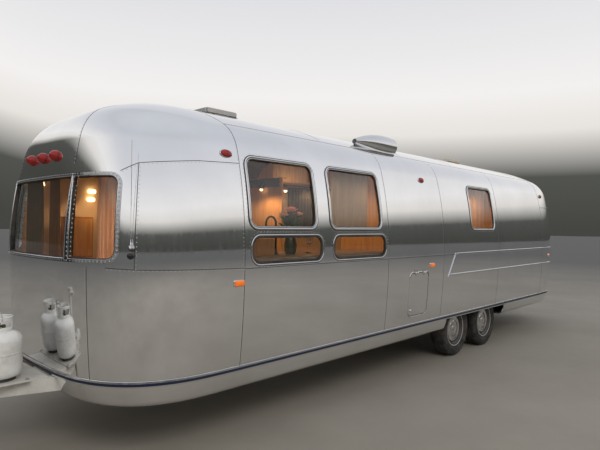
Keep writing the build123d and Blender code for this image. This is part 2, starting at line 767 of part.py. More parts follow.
def make_gas():
    foot = TONGUE_TOP + TRAY_THICK
    bottles = []
    x = NOSE_X + BOTTLE_FORWARD
    r = BOTTLE_RADIUS
    h = BOTTLE_SHOULDER
    outline = [
        Line((0, 25), (60, 25)), Line((60, 25), (105, 0)), Line((105, 0), (112, 0)), Line((112, 0), (118, 34)),
        ThreePointArc((118, 34), (145, 52), (r, 90)), Line((r, 90), (r, h - 65)),
        ThreePointArc((r, h - 65), (128, h - 16), (70, h)), Line((70, h), (0, h)), Line((0, h), (0, 25)),
    ]
    tank = revolve(Plane.XZ * make_face(outline), Axis.Z, 360)
    middle = h + COLLAR_TALL / 2 - 15
    collar = Pos(0, 0, middle) * (Cylinder(COLLAR_RADIUS, COLLAR_TALL) - Cylinder(COLLAR_RADIUS - 4, COLLAR_TALL + 1))
    for way in (1, -1):
        collar -= Pos(way * COLLAR_RADIUS, 0, middle + 14) * Box(110, 110, 46)
    valve = Pos(0, 0, h + 25) * Cylinder(20, 60)
    for side in (1, -1):
        bottles.append(Pos(x, side * BOTTLE_Y, foot) * (tank + collar + valve))
    save("gas_bottles", *bottles)
    top = foot + h + COLLAR_TALL - 15 + FIT
    edge = BOTTLE_RADIUS + 10
    tray = box(x - edge, x + edge, -BOTTLE_Y - edge, BOTTLE_Y + edge, TONGUE_TOP, foot)
    tray += rod((x, 0, foot), (x, 0, top + 8), 8)
    tray += box(x - 14, x + 14, -BOTTLE_Y + 60, BOTTLE_Y - 60, top, top + 8)
    tray += box(NOSE_X + 25, x - edge, -DECK_HALF, DECK_HALF, TONGUE_TOP, TONGUE_TOP + DECK_THICK)
    save("gas_rack", tray)


def make_running_gear():
    axles = []
    tread = make_tyre()
    index = 1
    inner = HUB_Y - TYRE_WIDTH / 2 - 58
    for axle in range(2):
        hub_x = back(FRONT_AXLE_BACK + axle * AXLE_SPACING)
        tube_x = hub_x + AXLE_LEAD
        half = AXLE_TUBE / 2
        beam = box(tube_x - half, tube_x + half, -inner, inner, BELLY_Z - AXLE_TUBE, BELLY_Z)
        for side in (1, -1):
            y = side * inner
            beam += box(hub_x - 28, tube_x + half, y, y + side * 28, TYRE_RADIUS - 30, BELLY_Z - 5)
            beam += rod((hub_x, y, TYRE_RADIUS), (hub_x, side * (HUB_Y + 8), TYRE_RADIUS), SPINDLE)
        axles.append(beam)
        for side in (1, -1):
            make_wheel(index, hub_x, side, tread)
            index += 1
    save("axles", *axles)


def make_belt():
    half = BELT_TALL / 2
    band = INSERT_TALL / 2
    turn = wrap_lean()

    def rail(widest):
        low = surface(widest, BELT_Z) - turn * half + RAIL_FIT
        mid = surface(widest, BELT_Z) + RAIL_FIT
        high = surface(widest, BELT_Z + half) + RAIL_FIT
        out = mid + BELT_PROUD
        return [
            (low, BELT_Z - half), (out - 3, BELT_Z - half + 2), (out, BELT_Z - band), (out - 7, BELT_Z - band),
            (out - 7, BELT_Z + band), (out, BELT_Z + band), (out - 2, BELT_Z + half - 2), (high, BELT_Z + half),
            (mid, BELT_Z),
        ]

    def insert(widest):
        out = surface(widest, BELT_Z) + RAIL_FIT + BELT_PROUD
        low = BELT_Z - band + FIT
        high = BELT_Z + band - FIT
        return [(out - 7 + FIT, low), (out - 1, low), (out - 1, high), (out - 7 + FIT, high)]

    save("belt_rail", *hoop(rail))
    save("belt_insert", *hoop(insert))

    def strip(height):
        def profile(widest):
            low = surface(widest, height - 14) + FIT
            high = surface(widest, height + 14) + FIT
            return [(low, height - 14), (low + 9, height - 9), (high + 9, height + 9), (high, height + 14)]
        return profile

    bands = []
    for height, front in ((BAND_TOP, BAND_TOP_FRONT), (BAND_FOOT, BAND_FOOT_FRONT)):
        bands += hoop(strip(height), ends=(False,), run=STRAIGHT - front)
    for side in (1, -1):
        inner = side * (side_at(BAND_FOOT) - 60)
        outer = side * (BODY_HALF + 60)
        corners = [(back(BAND_TOP_FRONT), BAND_TOP - 14 - FIT), (back(BAND_TOP_FRONT) + 28, BAND_TOP + 14),
                   (back(BAND_FOOT_FRONT) + 28, BAND_FOOT - 14), (back(BAND_FOOT_FRONT), BAND_FOOT + 14 + FIT)]
        face = make_face(Polyline(*[Vector(x, inner, z) for x, z in corners], close=True))
        slant = extrude(face, amount=abs(outer - inner), dir=(0, side, 0))
        slant -= box(REAR_SEAM_X, back(BAND_TOP_FRONT) + FIT, inner, outer, BAND_TOP - 14 - FIT, BAND_TOP + 20)
        slant -= box(REAR_SEAM_X, back(BAND_FOOT_FRONT) + FIT, inner, outer, BAND_FOOT - 20, BAND_FOOT + 14 + FIT)
        bands += (slant & side_shell(side, -9 - FIT, -FIT)).solids()
    save("rear_mouldings", *bands)


def wrap_lean():
    return 0.35 * WRAP_TUCK / 75


def make_door():
    free = back(DOOR_FRONT + DOOR_WIDTH)
    inner = side_shell(-1, DOOR_SKIN, WALL) & door_prism(0)
    inner -= box(free - 1, free + DOOR_STEP, -BODY_HALF - 50, -BODY_HALF + 400, 0, 3000)
    slab = (side_shell(-1, 0, DOOR_SKIN) & door_prism(0)) + inner
    near = DOOR_FRONT + DOOR_LIGHT_INSET
    far = DOOR_FRONT + DOOR_WIDTH - DOOR_LIGHT_INSET
    window = (-1, near, far, DOOR_LIGHT_FOOT, DOOR_LIGHT_HEAD, DOOR_LIGHT_CORNER)
    slab -= side_prism(*window)
    save("door", slab)
    save("door_glass", side_shell(-1, GLASS_DEPTH, GLASS_DEPTH + GLASS_THICK) & side_prism(*window, -FIT))
    fixed = []
    moving = []
    axis_x = back(DOOR_FRONT) + GAP / 2
    for z in DOOR_HINGES:
        seat = DOOR_HINGE_Y - max(side_at(z - HINGE_LONG / 2), side_at(z + HINGE_LONG / 2)) - FIT
        near = DOOR_HINGE_Y - max(side_at(z - HINGE_LONG / 6), side_at(z + HINGE_LONG / 6)) - FIT
        plane = Plane(origin=(axis_x, -DOOR_HINGE_Y, z), x_dir=(1, 0, 0), z_dir=(0, 0, -1))
        pair = hinge(plane, seat, near)
        fixed.append(pair[0])
        moving.append(pair[1])
    handle_x = free + 70
    face = side_at(HANDLE_Z + 80) + FIT
    handle = box(handle_x - 28, handle_x + 28, -face, -face - 8, HANDLE_Z - 80, HANDLE_Z + 80)
    handle += box(handle_x - 12, handle_x + 12, -face - 8, -face - 22, HANDLE_Z + 40, HANDLE_Z + 64)
    handle += box(handle_x - 12, handle_x + 12, -face - 14, -face - 24, HANDLE_Z - 60, HANDLE_Z + 64)
    save("door_fittings", handle, *moving)
    return fixed


def make_hatch():
    slab = side_shell(1, 0, HATCH_THICK) & hatch_prism(0)
    lock_x = back(HATCH_FRONT + 45)
    lock_z = HATCH_FOOT + 55
    top = HATCH_HEAD + GAP / 2
    axis_y = side_at(top) + HINGE_RADIUS + 3
    fixed = []
    moving = []
    for place in (HATCH_FRONT + 100, HATCH_BACK - 100):
        plane = Plane(origin=(back(place), axis_y, top), x_dir=(0, 0, 1), z_dir=(-1, 0, 0))
        seat = axis_y - side_at(top + 42) - FIT
        pair = hinge(plane, seat, axis_y - side_at(top) - FIT, leaf=30, length=66)
        fixed.append(pair[0])
        moving.append(pair[1])
    lock_y = side_at(lock_z + 14) + FIT
    lock = rod((lock_x, lock_y, lock_z), (lock_x, lock_y + 7, lock_z), 14)
    save("service_hatch", slab)
    save("hatch_fittings", lock, *moving)
    return fixed


def make_step():
    x = back(DOOR_FRONT + DOOR_WIDTH / 2)
    half = STEP_WIDTH / 2
    top = BELLY_Z - 12
    rails = []
    for way in (1, -1):
        edge = x + way * (half + SLIDE_FIT)
        rails.append(box(edge, edge + way * 14, -STEP_EDGE + 30, -STEP_EDGE + STEP_DEEP + 60, top - 60, BELLY_Z))
    save("step_rails", *rails)
    tray = box(x - half, x + half, -STEP_EDGE, -STEP_EDGE + STEP_DEEP, top - 30, top)
    tray -= box(x - half + 25, x + half - 25, -STEP_EDGE + 25, -STEP_EDGE + STEP_DEEP - 25, top - 40, top - 6)
    save("entry_step", tray)


def make_vents():
    curbs = []
    lids = []
    for x in VENT_PLACES:
        h = VENT_HALF - FIT
        z = CROWN_Z - WALL - 10
        curb = box(x - h, x + h, -h, h, z, CROWN_Z + 24) - box(x - h + 18, x + h - 18, 18 - h, h - 18, z - 5, CROWN_Z + 50)
        for way in (1, -1):
            y = way * (h - 50)
            curb += rod((x + h + 12, y - 18, CROWN_Z + 32), (x + h + 12, y + 18, CROWN_Z + 32), 4)
            for low in (y - 24, y + 18):
                curb += box(x + h - 10, x + h + 18, low, low + 6, CROWN_Z + 8, CROWN_Z + 22)
                curb += box(x + h + 6, x + h + 18, low, low + 6, CROWN_Z + 22, CROWN_Z + 38)
        curbs.append(curb)
        lid = box(x - h - 4, x + h - 4, -h - 4, h + 4, CROWN_Z + 24 + GAP, CROWN_Z + 24 + GAP + VENT_LID)
        lid = fillet(lid.edges().filter_by(Axis.Z), 40)
        lid = fillet(lid.faces().sort_by(Axis.Z)[-1].edges(), 12)
        lid -= box(x - h + 6, x + h - 14, -h + 6, h - 6, CROWN_Z + 20, CROWN_Z + 24 + GAP + VENT_LID - 8)
        for way in (1, -1):
            y = way * (h - 50)
            ear = rod((x + h + 12, y - 16, CROWN_Z + 32), (x + h + 12, y + 16, CROWN_Z + 32), 9)
            ear += box(x + h - 30, x + h + 12, y - 16, y + 16, CROWN_Z + 32, CROWN_Z + 41)
            lid += ear - rod((x + h + 12, y - 30, CROWN_Z + 32), (x + h + 12, y + 30, CROWN_Z + 32), 4.4)
        lids.append(lid)
    save("vent_curbs", *curbs)
    save("vent_lid_front", lids[0])
    save("vent_lid_rear", lids[1])

    front_x = back(COWL_FRONT)
    sections = []
    for share, wide, tall in ((0, 30, 26), (0.35, 105, 92), (0.75, 125, 118), (1, 120, 112)):
        x = front_x - share * COWL_LONG
        plane = Plane(origin=(x, COWL_Y, COWL_Z), x_dir=(0, 1, 0), z_dir=(-1, 0, 0))
        sections.append(plane * Rot(0, 0, COWL_TILT) * Ellipse(wide, tall))
    cowl = loft(sections)
    inner = []
    for share, wide, tall in ((0.3, 80, 70), (0.75, 117, 110), (1.02, 112, 104)):
        x = front_x - share * COWL_LONG
        plane = Plane(origin=(x, COWL_Y, COWL_Z), x_dir=(0, 1, 0), z_dir=(-1, 0, 0))
        inner.append(plane * Rot(0, 0, COWL_TILT) * Ellipse(wide, tall))
    cowl -= loft(inner)
    cowl -= roof_shell(-FIT, 400) + side_shell(1, -FIT, 340)
    save("roof_cowl", max(cowl.solids(), key=lambda s: s.volume))


def make_lamps():
    red = []
    amber = []
    front_skin = cap_shell(True, -FIT, WALL)
    rear_skin = cap_shell(False, -FIT, WALL)
    for side_angle in (1, -1):
        a = radians(RED_ANGLE) if side_angle == 1 else pi - radians(RED_ANGLE)
        for front, skin in ((True, front_skin), (False, rear_skin)):
            plane = cap_plane(front, a, RED_Z)
            red.append(extrude(plane * Pos(0, 0, -6) * Ellipse(56, 33), amount=24) - skin)
        plane = side_plane(side_angle, RED_MIDDLE, RED_Z)
        red.append(extrude(plane * Pos(0, 0, -6) * Ellipse(56, 33), amount=24) - side_shell(side_angle, -FIT, WALL))
        plane = cap_plane(True, radians(2.5) if side_angle == 1 else pi - radians(2.5), AMBER_Z)
        amber.append(extrude(plane * Pos(0, 0, -6) * rounded(86, 36, 8), amount=6 + LAMP_PROUD) - front_skin)
        plane = side_plane(side_angle, AMBER_BACK, AMBER_Z)
        amber.append(extrude(plane * rounded(86, 36, 8), amount=LAMP_PROUD) - side_shell(side_angle, -FIT, WALL))
        plane = cap_plane(False, radians(15) if side_angle == 1 else pi - radians(15), BAND_MIDDLE)
        amber.append(extrude(plane * Pos(0, 0, -6) * Circle(26), amount=20) - rear_skin)
        plane = cap_plane(False, radians(58) if side_angle == 1 else pi - radians(58), BAND_MIDDLE)
        red.append(extrude(plane * Pos(0, 0, -20) * rounded(260, 120, 40), amount=44) - rear_skin)
    for y in (-ROOF_LAMP_Y, 0, ROOF_LAMP_Y):
        a = pi / 2 - asin(y / FRONT_DEPTH)
        plane = cap_plane(True, a, ROOF_LAMP_Z)
        lamp = extrude(plane * Pos(0, 0, -8) * Circle(44), amount=26)
        lamp += plane.location * Pos(0, 0, 18) * (Sphere(44) & Pos(0, 0, 22) * Box(90, 90, 44))
        red.append(max((lamp - front_skin).solids(), key=lambda s: s.volume))
    keep = [max(lamp.solids(), key=lambda s: s.volume) for lamp in red]
    save("lamps_red", *keep)
    save("lamps_amber", *[max(lamp.solids(), key=lambda s: s.volume) for lamp in amber])

    angle = radians(ANTENNA_ANGLE)
    plane = cap_plane(True, angle, ANTENNA_Z)
    base = plane.location * Pos(0, 0, 10) * Sphere(13) - front_skin
    out = plane.z_dir
    foot = plane.origin + out * (24 + FIT)
    mast = rod(foot - Vector(0, 0, 16), foot + Vector(0, 0, 60), 14)
    mast += rod(foot, foot + Vector(0, 0, ANTENNA_LONG), 4)
    save("antenna", base + mast)


def make_bumper():
    x = TAIL_X - BUMPER_REACH
    foot = BELLY_Z + WRAP_SKIN + 10
    bar = box(x, x + BUMPER_DEEP, -BUMPER_HALF, BUMPER_HALF, foot, foot + BUMPER_TALL)
    bar = fillet(bar.edges().filter_by(Axis.Z), 20)
    # The lid of the locker behind it, which follows the tail's plan
    lid_foot = BELLY_Z + WRAP_SKIN + ARM_LIFT + ARM_TALL + FIT
    lid = box(x + BUMPER_DEEP / 2, REAR_SEAM_X, 25 - BUMPER_HALF, BUMPER_HALF - 25, lid_foot, lid_foot + LID_THICK)
    lid -= flat_plan(lambda widest: surface(widest, BELT_Z) + GAP, lid_foot - 5, LID_THICK + 10)
    save("rear_bumper", bar + max(lid.solids(), key=lambda s: s.volume))


def cabin(inset):
    # The room inside the straight part of the shell, for trimming what is fitted against its walls
    left = side_outline(inset)
    edges = arcs(left[:7], lambda r, z: Vector(REAR_SEAM_X, r, z))
    right = arcs(left[:7], lambda r, z: Vector(REAR_SEAM_X, -r, z))
    y, z = left[6]
    top = Edge.make_three_point_arc((REAR_SEAM_X, y, z), (REAR_SEAM_X, 0, CROWN_Z - inset), (REAR_SEAM_X, -y, z))
    foot_y, foot_z = left[0]
    foot = Edge.make_line((REAR_SEAM_X, foot_y, foot_z), (REAR_SEAM_X, -foot_y, foot_z))
    return extrude(Face(Wire(edges + right + [top, foot])), amount=STRAIGHT, dir=(1, 0, 0))


def fitted(side, front, rear, inner, foot, head, room):
    # A block against one side wall, between two distances behind the front seam
    return box(back(rear), back(front), side * inner, side * BODY_HALF, foot, head) & room


def make_interior():
    room = cabin(WALL + FIT)
    cabinet_top = GALLEY_TOP - COUNTER
    save("galley_cabinet", fitted(1, GALLEY_FRONT, GALLEY_BACK, GALLEY_Y, FLOOR_TOP, cabinet_top, room))
    save("galley_top", fitted(1, GALLEY_FRONT, GALLEY_BACK, GALLEY_Y - COUNTER_NOSE, cabinet_top, GALLEY_TOP, room))
    inner = BODY_HALF - LOCKER_DEEP
    save("overhead_lockers", *[fitted(side, front, rear, inner, LOCKER_FOOT, LOCKER_HEAD, room)
                               for side, front, rear in LOCKERS])
    half = BODY_HALF - LOUNGE_INSET
    pad = half - PAD_INSET
    bases = [box(back(LOUNGE_FRONT), back(LOUNGE_BACK), -half, half, FLOOR_TOP, SEAT_TOP)]
    pads = [box(back(LOUNGE_FRONT), back(LOUNGE_BACK), -pad, pad, SEAT_TOP, SEAT_TOP + CUSHION)]
    for side in (1, -1):
        for front, rear, edge, cushioned in SIDE_SEATS:
            bases.append(fitted(side, front, rear, edge, FLOOR_TOP, SEAT_TOP, room))
            if cushioned:
                soft = box(back(rear - PAD_INSET), back(front + PAD_INSET), side * (edge + PAD_INSET),
                           side * (BODY_HALF - 80), SEAT_TOP, SEAT_TOP + CUSHION)
                pads.append(soft & room)
    save("seat_bases", *bases)
    save("cushions", *pads)
    save("partitions", *[fitted(side, place, place + PARTITION_THICK, AISLE_HALF, FLOOR_TOP, LOCKER_FOOT, room)
                         for side, place in PARTITIONS])
    outer = BODY_HALF - HEATER_INSET
    save("water_heater", box(back(HATCH_BACK - HEATER_MARGIN), back(HATCH_FRONT + HEATER_MARGIN),
                             outer - HEATER_DEEP, outer, FLOOR_TOP, HATCH_HEAD))


make_shell()
make_underside()
make_chassis()
make_jack()
make_gas()
make_running_gear()
make_belt()
hinge_posts = make_door() + make_hatch()
save("hinge_posts", *hinge_posts)
make_step()
make_vents()
make_lamps()
make_bumper()
make_interior()
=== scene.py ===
import bpy
import bmesh
import random
from math import asin, atan2, cos, pi, radians, sin, sqrt
from mathutils import Matrix, Vector


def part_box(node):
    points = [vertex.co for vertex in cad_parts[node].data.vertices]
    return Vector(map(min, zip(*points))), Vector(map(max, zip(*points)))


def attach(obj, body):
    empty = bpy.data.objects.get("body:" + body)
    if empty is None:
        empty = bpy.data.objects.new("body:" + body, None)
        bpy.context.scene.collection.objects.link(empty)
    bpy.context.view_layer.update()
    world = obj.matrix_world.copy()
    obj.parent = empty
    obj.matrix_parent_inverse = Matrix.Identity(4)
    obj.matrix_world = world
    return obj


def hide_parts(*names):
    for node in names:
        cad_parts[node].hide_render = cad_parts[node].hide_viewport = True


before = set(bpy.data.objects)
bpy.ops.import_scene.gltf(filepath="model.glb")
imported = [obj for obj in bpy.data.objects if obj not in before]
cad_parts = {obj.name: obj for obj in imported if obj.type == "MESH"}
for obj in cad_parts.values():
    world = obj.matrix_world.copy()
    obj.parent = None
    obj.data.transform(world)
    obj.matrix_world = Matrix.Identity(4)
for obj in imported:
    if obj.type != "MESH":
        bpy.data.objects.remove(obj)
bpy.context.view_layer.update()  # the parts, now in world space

east, north, above = Vector((1, 0, 0)), Vector((0, 1, 0)), Vector((0, 0, 1))
sides = ((1, "Left"), (-1, "Right"))

# Sizes of the shell, in metres, as the frame has them
shell = {
    "half": 1.222, "frontDepth": 1.090, "rearDepth": 1.050, "planPower": 3.1,
    "beltZ": 0.575, "widestZ": 1.400, "crownZ": 2.690, "lowerRadius": 6.830, "upperRadius": 3.200,
    "sideShoulder": (0.360, 2.230), "frontShoulder": (0.400, 2.270), "rearShoulder": (0.600, 2.000),
    "seamX": 2.72001, "rearSeamX": -3.64001, "skin": 0.045,
}
seamX, rearSeamX, crownZ = shell["seamX"], shell["rearSeamX"], shell["crownZ"]
widestZ, beltZ = shell["widestZ"], shell["beltZ"]
sideValues = (shell["half"], *shell["sideShoulder"])
insets = (0.0, shell["skin"])
screen = {"foot": 1.391, "head": 2.006, "half": 0.585, "post": 0.050, "wingAngle": 52, "wingSpan": 0.414,
          "wingCentre": 0.021, "wingCorner": 0.090}
screenMid, screenTall = (screen["foot"] + screen["head"]) / 2, (screen["head"] - screen["foot"]) / 2
high, low = (1.621, 2.200, 0.090), (1.345, 1.588, 0.095)  # foot, head and corner of the windows
windows = [  # name, side, front and rear edge behind the front seam, foot, head, corner
    ("galley", 1, 0.043, 0.827, *high), ("galleyLow", 1, 0.060, 0.900, *low), ("dinette", 1, 0.986, 1.797, *high),
    ("dinetteLow", 1, 1.020, 1.864, *low), ("bedroom", 1, 3.764, 4.500, *high), ("lounge", -1, 0.043, 0.827, *high),
    ("loungeLow", -1, 0.060, 0.900, *low), ("middle", -1, 2.780, 3.440, *high), ("bedroomRight", -1, 3.764, 4.500, *high),
    ("washroom", -1, 5.250, 5.850, *high),
]
door = {"front": 1.060, "width": 0.680, "foot": 0.610, "head": 2.190, "corner": 0.110, "gap": 0.007}
doorWindow = ("door", -1, 1.190, 1.610, 1.560, 2.060, 0.070)
hatch = {"front": 2.330, "back": 2.700, "foot": 0.690, "head": 1.150, "corner": 0.045, "gap": 0.007}
rearWindow = {"half": 0.600, "foot": 1.450, "head": 2.006}


def behind(distance):
    return seamX - distance


def newObject(name, mesh):
    obj = bpy.data.objects.new(name, mesh)
    bpy.context.scene.collection.objects.link(obj)
    return obj


def newMesh(name, points, faces, smooth=True):
    mesh = bpy.data.meshes.new(name)
    mesh.from_pydata([tuple(p) for p in points], [], faces)
    mesh.validate()
    if smooth:
        mesh.shade_smooth()
    return mesh


def outward(mesh, merge=1e-6, side=0):
    # Merges doubles and turns the normals outward; an open sheet turns to the given side of y
    form = bmesh.new()
    form.from_mesh(mesh)
    if merge:
        bmesh.ops.remove_doubles(form, verts=form.verts, dist=merge)
    bmesh.ops.recalc_face_normals(form, faces=form.faces)
    form.normal_update()
    if side and sum(f.normal.y * f.calc_area() for f in form.faces) * side < 0:
        bmesh.ops.reverse_faces(form, faces=form.faces)
    form.to_mesh(mesh)
    form.free()
    return mesh


def dress(obj, finish, slot=None, body="caravan", replaced=()):
    if finish is not None:
        obj.data.materials.clear()
        obj.data.materials.append(finish)
    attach(obj, body)
    if replaced:
        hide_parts(*replaced)
    return obj


def piece(name, points, faces, finish, slot, body="caravan", replaced=(), sharp=None, smooth=True):
    mesh = outward(newMesh(name, points, faces, smooth))
    if sharp is not None:
        mesh.set_sharp_from_angle(angle=radians(sharp))
    return dress(newObject(name, mesh), finish, slot, body, replaced)


def modify(obj, kind, **settings):
    modifier = obj.modifiers.new("step", kind)
    for label, value in settings.items():
        setattr(modifier, label, value)
    return obj


def bake(obj):
    # Applies every modifier
    graph = bpy.context.evaluated_depsgraph_get()
    graph.update()
    mesh = bpy.data.meshes.new_from_object(obj.evaluated_get(graph))
    obj.modifiers.clear()
    old = obj.data
    obj.data = mesh
    bpy.data.meshes.remove(old)
    return obj


# The shell's formula: slices that swing round each end's axis, and a straight run between them
def planRadius(angle, depth):
    power = shell["planPower"]
    return ((abs(cos(angle)) / shell["half"]) ** power + (abs(sin(angle)) / depth) ** power) ** (-1 / power)


def sliceValues(front, angle):
    depth = shell["frontDepth"] if front else shell["rearDepth"]
    nose = shell["frontShoulder"] if front else shell["rearShoulder"]
    side = shell["sideShoulder"]
    share = sin(angle) ** 2
    return planRadius(angle, depth), side[0] + (nose[0] - side[0]) * share, side[1] + (nose[1] - side[1]) * share


def wallOutline(widest, shoulder, shoulderZ, inset=0.0):
    # Points (r, z) up the wall from the belt to the crown: lower wall, upper wall, shoulder and roof
    lower, upper = shell["lowerRadius"] - inset, shell["upperRadius"] - inset
    turn, reach = shoulder - inset, widest - inset
    lean = asin((shoulderZ - widestZ) / shell["upperRadius"])
    foot = asin((widestZ - beltZ) / lower)
    angles = [foot * (1 - k / 14) for k in range(14)]
    points = [(reach - lower * (1 - cos(a)), widestZ - lower * sin(a)) for a in angles]
    angles = [lean * k / 14 for k in range(14)]
    points += [(reach - upper * (1 - cos(a)), widestZ + upper * sin(a)) for a in angles]
    endR, endZ = reach - upper * (1 - cos(lean)), widestZ + upper * sin(lean)
    centreR, centreZ = endR - turn * cos(lean), endZ - turn * sin(lean)
    drop = crownZ - inset - turn - centreZ
    span = (drop ** 2 + centreR ** 2) / (2 * drop)
    top = atan2(span - drop, centreR)
    angles = [lean + (top - lean) * k / 16 for k in range(16)]
    points += [(centreR + turn * cos(a), centreZ + turn * sin(a)) for a in angles]
    roof = span + turn
    angles = [(pi / 2 - top) * (1 - k / 14) for k in range(15)]
    return points + [(roof * sin(a), crownZ - inset - roof + roof * cos(a)) for a in angles]


def bothSides(half):
    # An outline's half, and on over the crown to the right
    return half + [(-r, z) for r, z in half[-2::-1]]


def capAxis(front):
    return (seamX, 1) if front else (rearSeamX, -1)


def capPlace(front, angle, r, z):
    axis, way = capAxis(front)
    return Vector((axis + way * r * sin(angle), r * cos(angle), z))


def wallRadius(widest, shoulder, shoulderZ, z):
    # Distance of the wall from the plan's axis at a height
    lower, upper = shell["lowerRadius"], shell["upperRadius"]
    if z < widestZ:
        return widest - lower + sqrt(lower ** 2 - (widestZ - z) ** 2)
    if z < shoulderZ:
        return widest - upper + sqrt(upper ** 2 - (z - widestZ) ** 2)
    lean = asin((shoulderZ - widestZ) / upper)
    centreR = widest - upper * (1 - cos(lean)) - shoulder * cos(lean)
    centreZ = shoulderZ - shoulder * sin(lean)
    drop = crownZ - shoulder - centreZ
    span = (drop ** 2 + centreR ** 2) / (2 * drop)
    top = atan2(span - drop, centreR)
    if z < centreZ + shoulder * sin(top):
        return centreR + sqrt(shoulder ** 2 - (z - centreZ) ** 2)
    roof = span + shoulder
    return sqrt(max(roof ** 2 - (z - crownZ + roof) ** 2, 0.0))


def capPoint(front, angle, z):
    return capPlace(front, angle, wallRadius(*sliceValues(front, angle), z), z)


def sidePoint(side, x, z):
    return Vector((x, side * wallRadius(*sideValues, z), z))


def roofNormal(along, y, r, outline):
    # On the roof's arc, whose radius follows from the outline's last step before the crown
    reach, top = outline[-2]
    fall = crownZ - top
    roof = (reach ** 2 + fall ** 2) / (2 * fall)
    return Vector((along, y, sqrt(max(roof ** 2 - r * r, 0.01)))).normalized()


def skinNormal(p):
    # Outward normal of the shell's formula near a point
    x, y, z = p
    front = x > seamX - 0.0005
    z = min(max(z, beltZ + 0.002), crownZ - 1e-5)
    if not front and not x < rearSeamX + 0.0005:
        outline = wallOutline(*sideValues)
        if z > max(2.55, outline[-15][1]):
            return roofNormal(0, y, y, outline)
        side = 1 if y >= 0 else -1
        slope = (sidePoint(side, x, z + 0.002).y - sidePoint(side, x, z - 0.002).y) * side / 0.004
        return Vector((0, side, -slope)).normalized()
    axis, way = capAxis(front)
    angle = atan2(way * (x - axis), y)
    outline = wallOutline(*sliceValues(front, angle))
    if z > outline[-15][1] - 1e-4:
        return roofNormal(x - axis, y, sqrt((x - axis) ** 2 + y * y), outline)
    level = capPoint(front, angle + 0.004, z) - capPoint(front, angle - 0.004, z)
    rise = capPoint(front, angle, z + 0.002) - capPoint(front, angle, z - 0.002)
    normal = level.cross(rise).normalized()
    return -normal if normal.dot(capPoint(front, angle, z) - Vector((axis, 0, 1.4))) < 0 else normal


# Forms from rows and paths
def grid(rows):
    # Quads between rows of equal length, as points and faces
    width = len(rows[0])
    points = [p for row in rows for p in row]
    starts = [i * width + j for i in range(len(rows) - 1) for j in range(width - 1)]
    faces = [(a, a + 1, a + width + 1, a + width) for a in starts]
    return points, faces


def bands(rows, count, base=0, wrap=None):
    # Quads between rings of count points each; with wrap rings in all, the last one meets the first
    faces = []
    for j in range(rows):
        low, high = base + j * count, base + (j + 1) % (wrap or rows + 1) * count
        faces += [(low + k, low + (k + 1) % count, high + (k + 1) % count, high + k) for k in range(count)]
    return faces


def slab(outerRows, innerRows):
    # A closed sheet between two grids with the same rows
    points, faces = grid(outerRows)
    count = len(points)
    more, back = grid(innerRows)
    points += more
    faces += [tuple(count + i for i in reversed(f)) for f in back]
    width, height = len(outerRows[0]), len(outerRows)
    edge = list(range(width)) + [i * width + width - 1 for i in range(1, height)]
    edge += [(height - 1) * width + j for j in range(width - 2, -1, -1)] + [i * width for i in range(height - 2, 0, -1)]
    faces += [(b, a, count + a, count + b) for a, b in zip(edge, edge[1:] + edge[:1])]
    return points, faces


def skin(name, outerRows, innerRows, finish=None):
    # The outer faces are polished, the back and the edges have the other finish
    mesh = newMesh(name, *slab(outerRows, innerRows))
    outerFaces = (len(outerRows) - 1) * (len(outerRows[0]) - 1)
    mesh.polygons.foreach_set("material_index", [int(k >= outerFaces) for k in range(len(mesh.polygons))])
    obj = newObject(name, outward(mesh, 1e-5))
    obj.data.materials.append(polished)
    obj.data.materials.append(finish or lining)
    return obj


def capRows(front, steps, outlineAt):
    # Rows round a cap: outlineAt gives the slice at an angle
    return [[capPlace(front, pi * k / steps, r, z) for r, z in outlineAt(pi * k / steps)] for k in range(steps + 1)]


def wallRows(side, steps, outline):
    # Rows along the straight run
    stations = [rearSeamX + (seamX - rearSeamX) * k / steps for k in range(steps + 1)]
    return [[Vector((x, side * r, z)) for r, z in outline] for x in stations]


def turns(count):
    # Cosine and sine of equal steps round a circle
    return [(cos(2 * pi * k / count), sin(2 * pi * k / count)) for k in range(count)]


def quarter(x, y, radius, start, steps=8):
    # A quarter turn round a corner's centre, anticlockwise
    angles = [radians(start + 90 * k / steps) for k in range(steps + 1)]
    return [(x + radius * cos(a), y + radius * sin(a)) for a in angles]


def roundedPath(width, height, corner, steps=8):
    # A rounded rectangle round the origin, anticlockwise
    x, y = width / 2 - corner, height / 2 - corner
    corners = ((x, y, 0), (-x, y, 90), (-x, -y, 180), (x, -y, 270))
    return [p for u, v, start in corners for p in quarter(u, v, corner, start, steps)]


def subdivided(path, length=0.03):
    long = []
    for k, (a, b) in enumerate(path):
        c, d = path[(k + 1) % len(path)]
        parts = max(1, round(sqrt((c - a) ** 2 + (d - b) ** 2) / length))
        long += [(a + (c - a) * j / parts, b + (d - b) * j / parts) for j in range(parts)]
    return long


def prism(path, place, near, far):
    # A cutter from a flat path: place(a, b, c) puts a path point at depth c
    count = len(path)
    points = [place(a, b, near) for a, b in path] + [place(a, b, far) for a, b in path]
    faces = [tuple(range(count))[::-1], tuple(range(count, 2 * count)), *bands(1, count)]
    return newObject("cutter", outward(newMesh("cutter", points, faces, False)))


def sidePrism(window, grow=0.0):
    side, front, rear, foot, head, corner = window[1:]
    middle = behind((front + rear) / 2)
    path = roundedPath(rear - front + 2 * grow, head - foot + 2 * grow, max(corner + grow, 0.004))
    return prism(path, lambda a, b, c: Vector((middle + a, side * c, (foot + head) / 2 + b)), 0.9, 1.4)


def boxCutter(low, high):
    path = [(low[0], low[1]), (high[0], low[1]), (high[0], high[1]), (low[0], high[1])]
    return prism(path, lambda a, b, c: Vector((a, b, c)), low[2], high[2])


